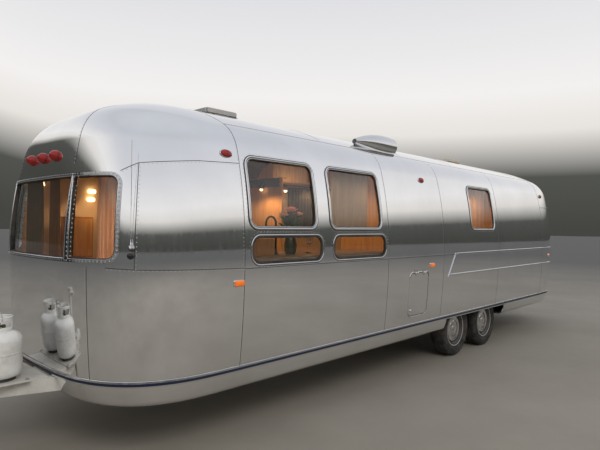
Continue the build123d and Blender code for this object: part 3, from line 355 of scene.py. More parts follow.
def cut(obj, *cutters, operation="DIFFERENCE"):
    for cutter in cutters:
        modify(obj, "BOOLEAN", operation=operation, solver="EXACT", object=cutter)
    bake(obj)
    for cutter in cutters:
        bpy.data.meshes.remove(cutter.data)
    return obj


def finishSkin(obj, node, body="caravan"):
    # The outer faces shade by the shell's formula, so that reflections run on past the cuts
    mesh = obj.data
    mesh.set_sharp_from_angle(angle=radians(28))
    corners = [Vector(c.vector) for c in mesh.corner_normals]
    known = {}
    for face in mesh.polygons:
        if face.material_index:
            continue
        for loop in face.loop_indices:
            vertex = mesh.loops[loop].vertex_index
            if vertex not in known:
                known[vertex] = skinNormal(mesh.vertices[vertex].co)
            if known[vertex].dot(face.normal) > 0.9:
                corners[loop] = known[vertex]
    mesh.normals_split_custom_set([tuple(n) for n in corners])
    return dress(obj, None, "polished_skin", body, (node,))


print("shell formula ready")


# Materials
def put(node, values):
    # Sets a node's inputs: a socket is linked, anything else is the input's own value
    for label, value in values.items():
        if isinstance(value, bpy.types.NodeSocket):
            node.id_data.links.new(value, node.inputs[label])
        else:
            node.inputs[label].default_value = value


def add(tree, kind, values=None, **settings):
    node = tree.nodes.new(kind)
    for label, value in settings.items():
        setattr(node, label, value)
    put(node, values or {})
    return node


def newMaterial(name):
    material = bpy.data.materials.new(name)
    material.use_nodes = True
    return material, material.node_tree, material.node_tree.nodes["Principled BSDF"]


def place(tree, scale=(1, 1, 1)):
    # Object coordinates, stretched where a pattern runs one way
    coordinate = add(tree, "ShaderNodeTexCoord")
    return add(tree, "ShaderNodeMapping", {"Scale": scale, "Vector": coordinate.outputs["Object"]}).outputs["Vector"]


def noise(tree, vector, scale, detail=3.0, roughness=0.55, distortion=0.0):
    return add(tree, "ShaderNodeTexNoise", {"Scale": scale, "Detail": detail, "Roughness": roughness,
                                            "Distortion": distortion, "Vector": vector}).outputs["Fac"]


def ramp(tree, factor, stops):
    node = add(tree, "ShaderNodeValToRGB", {"Fac": factor})
    marks = node.color_ramp.elements
    while len(marks) < len(stops):
        marks.new(0.5)
    for mark, (position, colour) in zip(marks, stops):
        mark.position = position
        mark.color = (*colour, 1)
    return node.outputs["Color"]


def spread(tree, factor, low, high, fromLow=0.0, fromHigh=1.0):
    return add(tree, "ShaderNodeMapRange", {"Value": factor, "From Min": fromLow, "From Max": fromHigh,
                                            "To Min": low, "To Max": high}).outputs["Result"]


def bump(tree, shader, height, distance, before=None):
    node = add(tree, "ShaderNodeBump", {"Distance": distance, "Strength": 1.0, "Height": height})
    if before is not None:
        put(node, {"Normal": before})
    put(shader, {"Normal": node.outputs["Normal"]})
    return node.outputs["Normal"]


def changing(tree, axis, edges, low, high):
    # A colour that changes between two heights, or between two distances to either side
    reach = add(tree, "ShaderNodeSeparateXYZ", {0: place(tree)}).outputs[axis]
    if axis == "Y":
        reach = add(tree, "ShaderNodeMath", {0: reach}, operation="ABSOLUTE").outputs[0]
    return ramp(tree, spread(tree, reach, 0.0, 1.0, *edges), [(0.0, low), (1.0, high)])


def makePolished(name, tint, roughLow, roughHigh, wave):
    # Buffed aluminium: a near mirror with slow waves, upright wipe marks and dull specks
    material, tree, shader = newMaterial(name)
    flat = place(tree)
    wipe = noise(tree, place(tree, (9.0, 9.0, 1.1)), 3.0, 5.0, 0.6)
    speck = spread(tree, noise(tree, flat, 90.0, 2.0), 0.8, 1.25, 0.35, 0.75)
    dull = add(tree, "ShaderNodeMath", {0: wipe, 1: speck}, operation="MULTIPLY").outputs[0]
    shade = [(0.3, [c * 0.93 for c in tint]), (0.7, tint)]
    put(shader, {"Metallic": 1.0, "Base Color": ramp(tree, noise(tree, flat, 2.2, 4.0), shade),
                 "Roughness": spread(tree, dull, roughLow, roughHigh, 0.3, 0.8)})
    slow = bump(tree, shader, noise(tree, flat, 1.7, 1.0, 0.4), wave)
    bump(tree, shader, noise(tree, place(tree, (1, 1, 0.5)), 6.0, 1.0, 0.3), wave * 0.16, slow)
    return material


def makeMetal(name, colour, roughness, worn=0.3, dirt=(0.10, 0.09, 0.08)):
    material, tree, shader = newMaterial(name)
    flat = place(tree)
    fine = noise(tree, flat, 220.0, 3.0)
    put(shader, {"Metallic": 1.0, "Roughness": spread(tree, fine, roughness * 0.75, roughness * 1.5, 0.3, 0.7),
                 "Base Color": ramp(tree, noise(tree, flat, 9.0, 6.0, 0.65), [(0.5 - worn, dirt), (0.5, colour)])})
    bump(tree, shader, fine, 0.00004)
    return material


def makeScreenMetal(name, middle, outer, edges):
    # Dark between the posts, bright round the outer lights
    material, tree, shader = newMaterial(name)
    fine = noise(tree, place(tree), 60.0, 5.0, 0.6)
    put(shader, {"Metallic": 1.0, "Base Color": changing(tree, "Y", edges, middle, outer),
                 "Roughness": spread(tree, fine, 0.20, 0.42, 0.3, 0.7)})
    bump(tree, shader, fine, 0.00005)
    return material


def makePaint(name, colour, roughness, dirt=(0.12, 0.09, 0.06), dirtShare=0.35, peel=0.00012, coat=0.2):
    # Brushed or sprayed enamel with patches of road dirt and rusty chips
    material, tree, shader = newMaterial(name)
    flat = place(tree)
    wide, fine = noise(tree, flat, 3.5, 6.0, 0.68), noise(tree, flat, 45.0, 4.0, 0.7)
    stops = [(0.28, [0.55 * c + 0.45 * d for c, d in zip(colour, dirt)]), (0.28 + dirtShare, colour)]
    chips = add(tree, "ShaderNodeMix", {"Factor": spread(tree, fine, 0.0, 1.0, 0.68, 0.76), "A": ramp(tree, wide, stops),
                                        "B": (*dirt, 1)}, data_type="RGBA")
    put(shader, {"Base Color": chips.outputs["Result"], "Coat Weight": coat, "Coat Roughness": 0.2,
                 "Roughness": spread(tree, wide, roughness * 1.3, roughness * 0.85, 0.3, 0.7)})
    bump(tree, shader, noise(tree, flat, 60.0, 3.0), peel)
    return material


def makeRubber(name, colour=(0.018, 0.018, 0.018), roughness=0.6, dust=(0.11, 0.095, 0.075)):
    material, tree, shader = newMaterial(name)
    flat = place(tree)
    wide = noise(tree, flat, 8.0, 6.0, 0.7)
    put(shader, {"Base Color": ramp(tree, wide, [(0.42, colour), (0.82, dust)]),
                 "Roughness": spread(tree, wide, roughness, roughness + 0.2)})
    bump(tree, shader, noise(tree, flat, 350.0, 2.0), 0.00012)
    return material


def makeGlass(name, colour):
    material, tree, shader = newMaterial(name)
    put(shader, {"Base Color": (*colour, 1), "Transmission Weight": 1.0, "IOR": 1.45,
                 "Roughness": spread(tree, noise(tree, place(tree), 14.0, 5.0), 0.0, 0.03, 0.4, 0.8)})
    return material


def makeWood(name, light, dark):
    material, tree, shader = newMaterial(name)
    grain = noise(tree, place(tree, (14, 14, 1.2)), 2.2, 8.0, 0.65, 0.6)
    line = noise(tree, place(tree, (84, 84, 2.0)), 3.0, 3.0)
    figure = add(tree, "ShaderNodeMath", {0: line, 1: 0.35, 2: grain}, operation="MULTIPLY_ADD").outputs[0]
    put(shader, {"Base Color": ramp(tree, figure, [(0.45, dark), (0.85, light)]), "Coat Weight": 0.25,
                 "Coat Roughness": 0.25, "Roughness": spread(tree, grain, 0.28, 0.49)})
    bump(tree, shader, figure, 0.0002)
    return material


def makePlastic(name, colour, roughness, fade):
    material, tree, shader = newMaterial(name)
    flat = place(tree)
    cloud = noise(tree, flat, 7.0, 6.0, 0.65)
    put(shader, {"Base Color": ramp(tree, cloud, [(0.37, colour), (0.95, fade)]),
                 "Roughness": spread(tree, cloud, roughness, roughness + 0.2)})
    bump(tree, shader, noise(tree, flat, 300.0, 2.0), 0.00006)
    return material


def stripes(tree, direction, scale, distortion=0.0):
    return add(tree, "ShaderNodeTexWave", {"Scale": scale, "Distortion": distortion, "Vector": place(tree)},
               bands_direction=direction).outputs["Fac"]


def makeRibbed(name, colour, pitch, fade=(0.5, 0.47, 0.42)):
    # Moulded plastic with shallow ribs along the lid
    material, tree, shader = newMaterial(name)
    cloud = noise(tree, place(tree), 7.0, 6.0, 0.65)
    put(shader, {"Base Color": ramp(tree, cloud, [(0.37, colour), (0.95, fade)]), "Roughness": 0.6})
    ribs = ramp(tree, stripes(tree, "Y", 0.3142 / pitch), [(0.70, (0, 0, 0)), (0.90, (1, 1, 1))])
    bump(tree, shader, ribs, 0.003)
    return material


def makeLining(name, low, high, edges):
    # Wall lining to the lockers' height, near black above it: painted shade on the ceiling
    material, tree, shader = newMaterial(name)
    put(shader, {"Base Color": changing(tree, "Z", edges, low, high), "Roughness": 0.7})
    bump(tree, shader, noise(tree, place(tree), 120.0, 2.0), 0.0002)
    return material


def makeLens(name, colour, glow=0.0):
    material, tree, shader = newMaterial(name)
    flat = place(tree)
    stops = [(0.3, [c * 0.7 for c in colour]), (0.7, colour)]
    put(shader, {"Base Color": ramp(tree, noise(tree, flat, 30.0, 4.0), stops), "Roughness": 0.28, "Coat Weight": 0.25,
                 "Coat Roughness": 0.10, "Emission Color": (*colour, 1), "Emission Strength": glow})
    bump(tree, shader, noise(tree, flat, 240.0, 1.0), 0.0002)
    return material


def makeCloth(name, light, dark, weave=900.0, sheen=0.35, through=0.0):
    # Plain weave from two crossed waves, with thicker threads here and there
    material, tree, shader = newMaterial(name)
    warp, weft = (stripes(tree, direction, weave / 6.283, 1.2) for direction in ("X", "Z"))
    threads = add(tree, "ShaderNodeMath", {0: warp, 1: weft}, operation="MULTIPLY").outputs[0]
    slub = noise(tree, place(tree, (30, 30, 3)), 3.0, 5.0)
    put(shader, {"Base Color": ramp(tree, slub, [(0.3, dark), (0.7, light)]), "Roughness": 0.85, "Sheen Weight": sheen})
    bump(tree, shader, threads, 0.0004)
    if through:
        # Thin cloth lets the light behind it through
        back = add(tree, "ShaderNodeBsdfTranslucent", {"Color": (*light, 1)})
        both = add(tree, "ShaderNodeMixShader", {"Fac": through, 1: shader.outputs[0], 2: back.outputs[0]})
        put(next(n for n in tree.nodes if n.type == "OUTPUT_MATERIAL"), {"Surface": both.outputs[0]})
    return material


def makeLamp(name, colour, strength):
    material, tree, shader = newMaterial(name)
    put(shader, {"Base Color": (*colour, 1), "Emission Color": (*colour, 1), "Emission Strength": strength})
    return material


polished = makePolished("polishedSkin", (0.90, 0.905, 0.915), 0.025, 0.13, 0.0011)
trimBright = makePolished("brightTrim", (0.80, 0.80, 0.81), 0.10, 0.26, 0.0002)
dullMetal = makeMetal("dullAluminium", (0.52, 0.52, 0.52), 0.42, worn=0.15)
chrome = makeMetal("chrome", (0.82, 0.82, 0.83), 0.09, worn=0.12)
hubMetal = makeMetal("hubMetal", (0.66, 0.66, 0.65), 0.17, worn=0.25, dirt=(0.20, 0.18, 0.15))
screenMetal = makeScreenMetal("screenMetal", (0.085, 0.090, 0.098), (0.62, 0.63, 0.65), (0.640, 0.690))
wheelMetal = makePaint("wheelSteel", (0.045, 0.045, 0.047), 0.5)
brass = makeMetal("brass", (0.62, 0.44, 0.18), 0.3, worn=0.3)
oldBrass = makeMetal("oldBrass", (0.17, 0.135, 0.08), 0.45, worn=0.3, dirt=(0.05, 0.045, 0.04))
bareSteel = makeMetal("bareSteel", (0.55, 0.55, 0.54), 0.34, worn=0.2, dirt=(0.18, 0.10, 0.05))
framePaint = makePaint("framePale", (0.62, 0.60, 0.55), 0.45)
blackPaint = makePaint("frameBlack", (0.030, 0.030, 0.030), 0.55, (0.10, 0.08, 0.06))
bottlePaint = makePaint("bottleWhite", (0.74, 0.735, 0.70), 0.3, (0.25, 0.21, 0.15), 0.2, 0.0002, 0.4)
bluePlastic = makePlastic("blueInsert", (0.004, 0.009, 0.036), 0.35, fade=(0.012, 0.02, 0.05))
greyPlastic = makeRibbed("greyPlastic", (0.36, 0.36, 0.35), 0.042)
tanPlastic = makeRibbed("tanPlastic", (0.60, 0.53, 0.42), 0.042, (0.70, 0.66, 0.58))
redLens = makeLens("redLens", (0.34, 0.010, 0.008))
amberLens = makeLens("amberLens", (0.95, 0.20, 0.012), 0.25)
glass = makeGlass("glass", (0.93, 0.95, 0.95))
glossBlack = makePlastic("glossBlack", (0.008, 0.008, 0.009), 0.12, fade=(0.02, 0.02, 0.02))
rubber = makeRubber("rubber")
tyreRubber = makeRubber("tyre", (0.016, 0.016, 0.017), 0.7)
lineRubber = makeRubber("tyreLine", (0.55, 0.54, 0.50), 0.6, (0.35, 0.32, 0.27))
plywood = makeWood("plywood", (0.42, 0.27, 0.15), (0.23, 0.13, 0.06))
cabinetWood = makeWood("cabinetWood", (0.56, 0.29, 0.11), (0.30, 0.13, 0.045))
paleWood = makeWood("paleWood", (0.78, 0.56, 0.32), (0.52, 0.33, 0.16))
panelWood = makeWood("panelWood", (0.78, 0.44, 0.17), (0.56, 0.27, 0.085))
counterTop = makePlastic("counter", (0.26, 0.17, 0.10), 0.3, fade=(0.34, 0.25, 0.17))
vaseGlaze = makePlastic("vaseGlaze", (0.045, 0.060, 0.045), 0.12, fade=(0.08, 0.09, 0.06))
mattressCloth = makeCloth("mattressCloth", (0.60, 0.30, 0.16), (0.46, 0.21, 0.11))
pipingCloth = makeCloth("pipingCloth", (0.42, 0.30, 0.20), (0.32, 0.22, 0.14), 1400.0)
seatCloth = makeCloth("seatCloth", (0.68, 0.55, 0.40), (0.50, 0.38, 0.26))
peachCloth = makeCloth("peachCloth", (0.94, 0.66, 0.50), (0.82, 0.52, 0.38), through=0.50)
# A near-black cloth that lets no light through: painted shade for the dark middle window
paintedShadeCloth = makeCloth("paintedShadeCloth", (0.070, 0.058, 0.046), (0.040, 0.033, 0.027), sheen=0.1)
brownCloth = makeCloth("brownCloth", (0.23, 0.155, 0.080), (0.14, 0.09, 0.045), through=0.42)
warmCloth = makeCloth("warmCloth", (0.36, 0.205, 0.090), (0.20, 0.115, 0.050), through=0.62)
tanCloth = makeCloth("tanCloth", (0.46, 0.38, 0.29), (0.36, 0.29, 0.22), through=0.40)
orangeCloth = makeCloth("orangeCloth", (0.72, 0.40, 0.20), (0.60, 0.31, 0.15), through=0.45)
petal = makeCloth("petal", (0.90, 0.42, 0.26), (0.72, 0.22, 0.14), 300.0, 0.5, 0.2)
leaf = makeCloth("leaf", (0.055, 0.12, 0.03), (0.025, 0.06, 0.015), 200.0, 0.1, 0.2)
lampGlow = makeLamp("lampGlow", (1.0, 0.66, 0.30), 6.0)
# A near-black finish for the strip over the partition's panel: painted shade under the ceiling
paintedShadeHeader = makePlastic("paintedShadeHeader", (0.055, 0.050, 0.044), 0.6, fade=(0.09, 0.08, 0.07))
# The lining turns near black above 2.22 m: painted shade on the ceiling
lining = makeLining("lining", (0.62, 0.50, 0.36), (0.085, 0.085, 0.080), (2.13, 2.22))
print("materials ready")


# The polished skins, each as thick as the wall, with its openings cut
hatchWindow = ("hatch", 1, hatch["front"], hatch["back"], hatch["foot"], hatch["head"], hatch["corner"])
doorOpening = ("door", -1, door["front"], door["front"] + door["width"], door["foot"], door["head"], door["corner"])
ventMiddles = (behind(0.560), behind(5.300))


def wingFrame(side):
    # Outward and rearward directions of an outer light, and its middle
    a = radians(screen["wingAngle"])
    run = Vector((cos(a), -side * sin(a), 0))
    return Vector((sin(a), side * cos(a), 0)), run, Vector((seamX, 0, screenMid)) - run * screen["wingCentre"]


def screenCutters():
    half = screen["half"] + screen["post"]
    x = seamX + shell["frontDepth"]
    cutters = [boxCutter((x - 0.5, -half, screen["foot"]), (x + 0.1, half, screen["head"]))]
    wide, corner = screen["wingSpan"] / 2, screen["wingCorner"]
    path = quarter(corner - wide, corner - screenTall, corner, 180)[::-1]
    path += quarter(corner - wide, screenTall - corner, corner, 90)[::-1] + [(wide, screenTall), (wide, -screenTall)]
    for side in (1, -1):
        out, run, centre = wingFrame(side)
        cutters.append(prism(path, lambda a, b, c: centre + out * c + run * a + above * b, 0.6, 1.4))
    return cutters


def makeCap(front, name, node):
    obj = skin(name, *[capRows(front, 90, lambda a: wallOutline(*sliceValues(front, a), inset)) for inset in insets])
    if front:
        cut(obj, *screenCutters())
    else:
        half, x = rearWindow["half"], rearSeamX - shell["rearDepth"]
        cut(obj, boxCutter((x - 0.1, -half, rearWindow["foot"]), (x + 0.3, half, rearWindow["head"])))
    finishSkin(obj, node)


def makeWall(side, name, node):
    obj = skin(name, *[wallRows(side, 40, wallOutline(*sideValues, inset)[:45]) for inset in insets])
    opening, gap = (hatchWindow, hatch["gap"]) if side == 1 else (doorOpening, door["gap"])
    cut(obj, *[sidePrism(w) for w in windows if w[1] == side], sidePrism(opening, gap))
    finishSkin(obj, node)


def makeRoof():
    obj = skin("roofSkin", *[wallRows(1, 40, bothSides(wallOutline(*sideValues, inset)[44:])) for inset in insets])
    cut(obj, *[boxCutter((x - 0.19, -0.19, 2.5), (x + 0.19, 0.19, 2.8)) for x in ventMiddles])
    finishSkin(obj, "roof_panel")


def makePanel(name, window, node, body, thick):
    # A door or hatch: the wall's own curve, cut to the opening's shape
    side, front, rear, foot, head = window[1:6]
    heights = [foot + (head - foot) * k / 32 for k in range(33)]
    stations = [behind(rear) + (rear - front) * k / 12 for k in range(13)]
    obj = skin(name, *[[[Vector((x, side * (wallRadius(*sideValues, z) - inset), z)) for z in heights] for x in stations]
                       for inset in (0.0, thick)])
    cut(obj, sidePrism(window), operation="INTERSECT")
    if node == "door":
        cut(obj, sidePrism(doorWindow))
    finishSkin(obj, node, body)


def makeLowerWrap():
    # Below the belt: a tucked apron that turns under to the belly, cut away round the wheels
    belly, tuck, corner, sheet = 0.400, 0.036, 0.070, (0.0, 0.012)

    def profile(widest, inset):
        top = wallRadius(widest, 0, 0, beltZ)
        low = top - tuck
        points = [(top - inset, beltZ), (top - 0.35 * tuck - inset, beltZ - 0.075)]
        for k in range(9):
            a = radians(8 + 82 * k / 8)
            turn = corner - inset
            points.append((low - corner + turn * cos(a) + 0.006 * cos(a), belly + corner - turn * sin(a)))
        return points

    parts = {name: [capRows(front, 60, lambda a: profile(sliceValues(front, a)[0], inset)) for inset in sheet]
             for front, name in ((True, "Front"), (False, "Rear"))}
    for side, name in sides:
        parts[name] = [wallRows(side, 20, profile(shell["half"], inset)) for inset in sheet]
    hubAhead, hubBehind = behind(3.716) + 0.486, behind(3.716 + 0.854) - 0.400
    for name, rows in parts.items():
        obj = skin("lowerWrap" + name, *rows, dullMetal)
        if name == "Front":
            cut(obj, beamCutter(1), beamCutter(-1))
        elif name != "Rear":
            near, far = sorted((0.7775, 1.3) if name == "Left" else (-0.7775, -1.3))
            cut(obj, boxCutter((hubBehind, near, 0.38), (hubAhead, far, 0.6)))
        obj.data.set_sharp_from_angle(angle=radians(30))
        dress(obj, None, "polished_skin", replaced=("lower_wrap",))


def beamCutter(side):
    # Clearance for a tongue beam
    start = Vector((behind(-0.150), side * 0.640, 0))
    tip = Vector((3.76 + 1.030 - 0.150, side * 0.030, 0))
    run = (tip - start).normalized()
    cross = Vector((-run.y, run.x, 0)) * 0.0255
    path = [(p.x, p.y) for p in (start - cross, tip - cross, tip + cross, start + cross)]
    return prism(path, lambda a, b, c: Vector((a, b, c)), 0.4477, 0.5483)


makeCap(True, "frontCapSkin", "front_cap")
makeCap(False, "rearCapSkin", "rear_cap")
print("caps ready")
makeWall(1, "leftWallSkin", "wall_left")
makeWall(-1, "rightWallSkin", "wall_right")
makeRoof()
makePanel("hatchSkin", hatchWindow, "service_hatch", "service_hatch_lid", 0.020)
makePanel("doorSkin", doorOpening, "door", "entry_door", 0.045)
makeLowerWrap()
print("skins ready")


# Trim that follows the skin: closed rings round the windows, strips along the seams
def ringAlong(name, points, normals, profile, finish, body="caravan", replaced=(), slot="bright_trim", sharp=40):
    # A closed ring: profile is an outline of (inward, outward) distances from the path
    count, rows = len(points), []
    for k, p in enumerate(points):
        along = (points[(k + 1) % count] - points[k - 1]).normalized()
        out = normals[k].normalized()
        inward = out.cross(along).normalized()
        rows += [p + inward * a + out * b for a, b in profile]
    return piece(name, rows, bands(count, len(profile), wrap=count), finish, slot, body, replaced, sharp)


def dome(low, high, height, foot=0.0):
    # Outline of a rolled moulding between two edges, standing up from its foot
    points = []
    for k in range(8):
        a = pi * k / 7
        points.append(((low + high) / 2 - (high - low) / 2 * cos(a), height * (0.3 + 0.7 * sin(a))))
    return [(low, foot), *points, (high, foot)]


def windowPath(window, inset=0.0):
    # A window's outline on the side wall, inset from its opening, with the wall's normals
    side, front, rear, foot, head, corner = window[1:]
    path = roundedPath(rear - front - 2 * inset, head - foot - 2 * inset, max(corner - inset, 0.006), 10)
    middle, height = behind((front + rear) / 2), (foot + head) / 2
    points = [sidePoint(side, middle - side * a, height + b) for a, b in subdivided(path, 0.06)]
    return points, [skinNormal(p) for p in points]


deep = -0.020
frameBands = {  # from outside in: name, near and far edge, height, finish and foot
    "opening": (("Seal", -0.0035, 0.0030, 0.005, rubber, -0.002), ("Band", 0.0025, 0.0180, 0.009, trimBright, deep),
                ("Groove", 0.0170, 0.0215, 0.002, rubber, deep), ("Sash", 0.0210, 0.0285, 0.006, trimBright, deep),
                ("Lip", 0.0280, 0.0330, 0.001, rubber, deep)),
    "door": (("Seal", -0.0030, 0.0020, 0.004, rubber, -0.002), ("Band", 0.0015, 0.0150, 0.009, trimBright, deep),
             ("Lip", 0.0145, 0.0200, 0.003, rubber, deep)),
    "low": (("Seal", -0.0045, 0.0005, 0.003, rubber, -0.002), ("Band", 0.0000, 0.0120, 0.005, trimBright, deep),
            ("Lip", 0.0115, 0.0300, 0.002, rubber, deep)),
    "screen": (("Bead", -0.002, 0.007, 0.013, trimBright, deep), ("Seal", 0.0065, 0.013, 0.004, rubber, deep)),
}


def trimRing(name, points, normals, kind="opening", body="caravan", replaced=()):
    for label, near, far, height, finish, foot in frameBands[kind]:
        ringAlong(name + label, points, normals, dome(near, far, height, foot), finish, body, replaced)


def trimWindows():
    for window in windows:
        kind = "low" if "Low" in window[0] else "opening"
        trimRing(window[0], *windowPath(window), kind, replaced=("window_frames",))
    trimRing("door", *windowPath(doorWindow), "door", "entry_door")


pane = {"depth": 0.014, "thick": 0.005}


def paneOf(window, inset=0.027, body="caravan", node="window_glass"):
    # A pane that follows the wall's curve
    side, front, rear, foot, head, corner = window[1:]
    middle, height = behind((front + rear) / 2), (foot + head) / 2
    wide, tall = rear - front - 2 * inset, head - foot - 2 * inset
    r = max(corner - inset, 0.01)
    outer, inner = [], []
    for j in range(25):
        b = (-1 + 2 * j / 24) * tall / 2
        past = max(abs(b) - (tall / 2 - r), 0)
        half = wide / 2 - r + sqrt(max(r * r - past * past, 1e-8))
        y = wallRadius(*sideValues, height + b) - pane["depth"]
        for rows, face in ((outer, y), (inner, y - pane["thick"])):
            rows.append([Vector((middle + half * (-1 + 2 * k / 12), side * face, height + b)) for k in range(13)])
    piece(window[0] + "Pane", *slab(outer, inner), glass, "glass", body, (node,), 40)


def ontoCap(start, direction, front=True):
    # Where a level line from inside a cap meets its skin
    near, far = 0.3, 1.6
    seam = capAxis(front)[0]
    for step in range(40):
        middle = (near + far) / 2
        p = start + direction * middle
        angle = atan2(abs(p.x - seam), p.y)
        if sqrt((p.x - seam) ** 2 + p.y ** 2) < wallRadius(*sliceValues(front, angle), p.z):
            near = middle
        else:
            far = middle
    return start + direction * near


def wingPath(side, inset):
    # The outer light: rounded at its rear corners, square at the post
    wide, tall, corner = screen["wingSpan"] / 2, screenTall - inset, screen["wingCorner"] - inset
    out, run, centre = wingFrame(side)
    path = [(wide + 0.004 - inset, -tall), (wide + 0.004 - inset, tall)]
    middle = -wide + inset + corner
    path += quarter(middle, tall - corner, corner, 90) + quarter(middle, -tall + corner, corner, 180)
    points = [ontoCap(centre + run * a + above * b, out) for a, b in subdivided(path)]
    return points, [skinNormal(p) for p in points]


def middlePath(inset):
    half, tall = screen["half"] - inset, screenTall - inset
    path = subdivided([(half, -tall), (half, tall), (-half, tall), (-half, -tall)])
    points = [ontoCap(Vector((seamX, a, screenMid + b)), east) for a, b in path]
    return points, [skinNormal(p) for p in points]


def facing(points, normals):
    # Turns a ring so that its inward side points to its own middle
    middle = sum(points, Vector()) / len(points)
    if normals[0].cross(points[1] - points[0]).dot(middle - points[0]) < 0:
        return points[::-1], normals[::-1]
    return points, normals


def trimScreen():
    # Bright beads and dark seals round the three front lights, over the riveted frame that carries them
    trimRing("screenMiddle", *facing(*middlePath(0.020)), "screen")
    for side, name in sides:
        trimRing("screenWing" + name, *facing(*wingPath(side, 0.020)), "screen")


trimWindows()
for window in windows:
    paneOf(window)
paneOf(doorWindow, 0.001, "entry_door", "door_glass")
trimScreen()


# The front screen's three panes and the rear window
def capPane(name, start, across, direction, near, far, tall, corner, front=True, squareFar=False):
    # A pane on a cap, from near to far along "across", as a rule with rounded corners on both sides
    outer, inner = [], []
    for j in range(17):
        v = -tall + 2 * tall * j / 16
        past = max(abs(v) - (tall - corner), 0)
        cutIn = corner - sqrt(max(corner * corner - past * past, 1e-8))
        low, high = near + cutIn, far - (0 if squareFar else cutIn)
        row = [ontoCap(start + across * (low + (high - low) * k / 20) + above * v, direction, front) for k in range(21)]
        outer.append([p - skinNormal(p) * pane["depth"] for p in row])
        inner.append([p - skinNormal(p) * (pane["depth"] + pane["thick"]) for p in row])
    piece(name, *slab(outer, inner), glass, "glass", "caravan", ("window_glass",), 40)


def makeScreenPanes():
    edge = 0.030
    half, tall, wide, corner = screen["half"] - edge, screenTall - edge, screen["wingSpan"] / 2, screen["wingCorner"] - edge
    capPane("screenMiddlePane", Vector((seamX, 0, screenMid)), north, east, -half, half, tall, 0.004)
    for side, name in sides:
        out, run, centre = wingFrame(side)
        capPane(f"screen{name}Pane", centre, run, out, edge - wide, wide - 0.026, tall, corner, squareFar=True)


def makeRearWindow():
    # Its ring of path points on the rear cap, then the same five bands as a side window
    half, foot, head = rearWindow["half"], rearWindow["foot"], rearWindow["head"]
    path = subdivided(roundedPath(2 * half, head - foot, 0.090), 0.04)
    start = Vector((rearSeamX, 0, (foot + head) / 2))
    points = [ontoCap(start + Vector((0, a, b)), -east, False) for a, b in path]
    trimRing("rearWindow", *facing(points, [skinNormal(p) for p in points]))
    capPane("rearPane", start, north, -east, 0.027 - half, half - 0.027, (head - foot) / 2 - 0.027, 0.063, False)


makeScreenPanes()
makeRearWindow()
print("windows ready")


# Seams and rivets. A path on the skin is a list of points with the skin's normals
def spaced(points, step):
    # Points at equal steps along a polyline
    found, left = [points[0]], step
    for a, b in zip(points, points[1:]):
        length = (b - a).length
        while length >= left and length > 0:
            a = a + (b - a) * (left / length)
            length = (b - a).length
            found.append(a)
            left = step
        left -= length
    return found


def between(marks, steps):
    # Equal steps from mark to mark
    found = []
    for (a, z), (b, w) in zip(marks, marks[1:]):
        found += [(a + (b - a) * k / steps, z + (w - z) * k / steps) for k in range(steps)]
    return found + [marks[-1]]


def sideLine(side, marks, steps=30):
    return [sidePoint(side, behind(x), z) for x, z in between(marks, steps)]


def overRoof(x):
    # A hoop from the left belt over the roof to the right belt
    return [Vector((x, r, z)) for r, z in bothSides(wallOutline(*sideValues))]


def capLine(front, marks, steps, side):
    # Marks are (degrees from the caravan's side, height); a single mark runs up to near the pole
    marks = [(a if side == 1 else 180 - a, z) for a, z in marks]
    if len(marks) > 1:
        return [capPoint(front, radians(a), z) for a, z in between(marks, steps)]
    a, foot = radians(marks[0][0]), marks[0][1]
    return [capPlace(front, a, r, z) for r, z in wallOutline(*sliceValues(front, a)) if z >= foot and r > 0.16]


seamShape = {"wide": 0.0045, "proud": 0.0008, "rivetStep": 0.030, "rivetAside": 0.011, "head": 0.0036, "tall": 0.0016}
capSeams = (  # front cap, marks, steps
    (True, ((0, 2.125), (18, 2.110), (37, 2.069)), 24), (True, ((37, 2.069), (39.5, 2.045), (42.5, 2.012)), 8),
    (True, ((37, 2.069), (37.5, 1.352)), 24), (True, ((0, 1.335), (37.5, 1.352), (46, 1.362)), 24),
    (True, ((52, 0.60), (52.5, 1.362)), 24), (True, ((61, 2.03),), 0), (False, ((0, 2.000), (90, 2.000)), 60),
    (False, ((33, 0.60), (33, 1.06)), 24), (False, ((33, 1.36), (33, 2.000)), 24), (False, ((60, 2.01),), 0),
)


def seamPaths():
    paths = [overRoof(seamX), overRoof(rearSeamX)]
    edge = overRoof(0)[44]
    for side, name in sides:
        paths += [capLine(*seam, side) for seam in capSeams]
        paths.append(sideLine(side, [(0, 1.330), (3.36, 1.330)], 60))
        paths.append([Vector((behind(6.36 * k / 60), side * edge.y, edge.z)) for k in range(61)])
        for n, x in enumerate((1.90, 3.05, 4.62) if side == 1 else (1.88, 3.60, 4.72)):
            paths.append(sideLine(side, [(x, 1.345), (x, 2.45)]))
            if side == 1 or n:
                paths.append(sideLine(side, [(x, 0.602), (x, 1.07 if x > 3.2 else 1.32)]))
    return paths + [[p for p in overRoof(behind(x)) if p.z > 2.46] for x in (1.20, 2.60, 3.85, 6.0)]


def makeSeams():
    # A dark strip along every seam, and a row of rivets beside it
    half, proud = seamShape["wide"] / 2, seamShape["proud"]
    profile = [(-half, -0.003), (-half, proud * 0.6), (-half * 0.4, proud)]
    profile += [(-a, b) for a, b in profile[::-1]]
    width = len(profile)
    points, faces, heads, ways = [], [], [], []
    for path in seamPaths():
        base, last = len(points), len(path) - 1
        for k, p in enumerate(path):
            n = skinNormal(p)
            inward = n.cross((path[min(k + 1, last)] - path[max(k - 1, 0)]).normalized()).normalized()
            points += [p + inward * a + n * b for a, b in profile]
        faces += bands(last, width, base)
        faces += [tuple(base + j for j in range(width)), tuple(base + last * width + j for j in reversed(range(width)))]
        for p in spaced(path, seamShape["rivetStep"]):
            n = skinNormal(p)
            k = min(range(last), key=lambda i: (path[i] - p).length)
            along = (path[k + 1] - path[k]).normalized()
            heads.append(p + n.cross(along).normalized() * seamShape["rivetAside"])
            ways.append(n)
    piece("panelSeams", points, faces, rubber, "tyre", sharp=50)
    studs("panelRivets", heads, ways, polished)


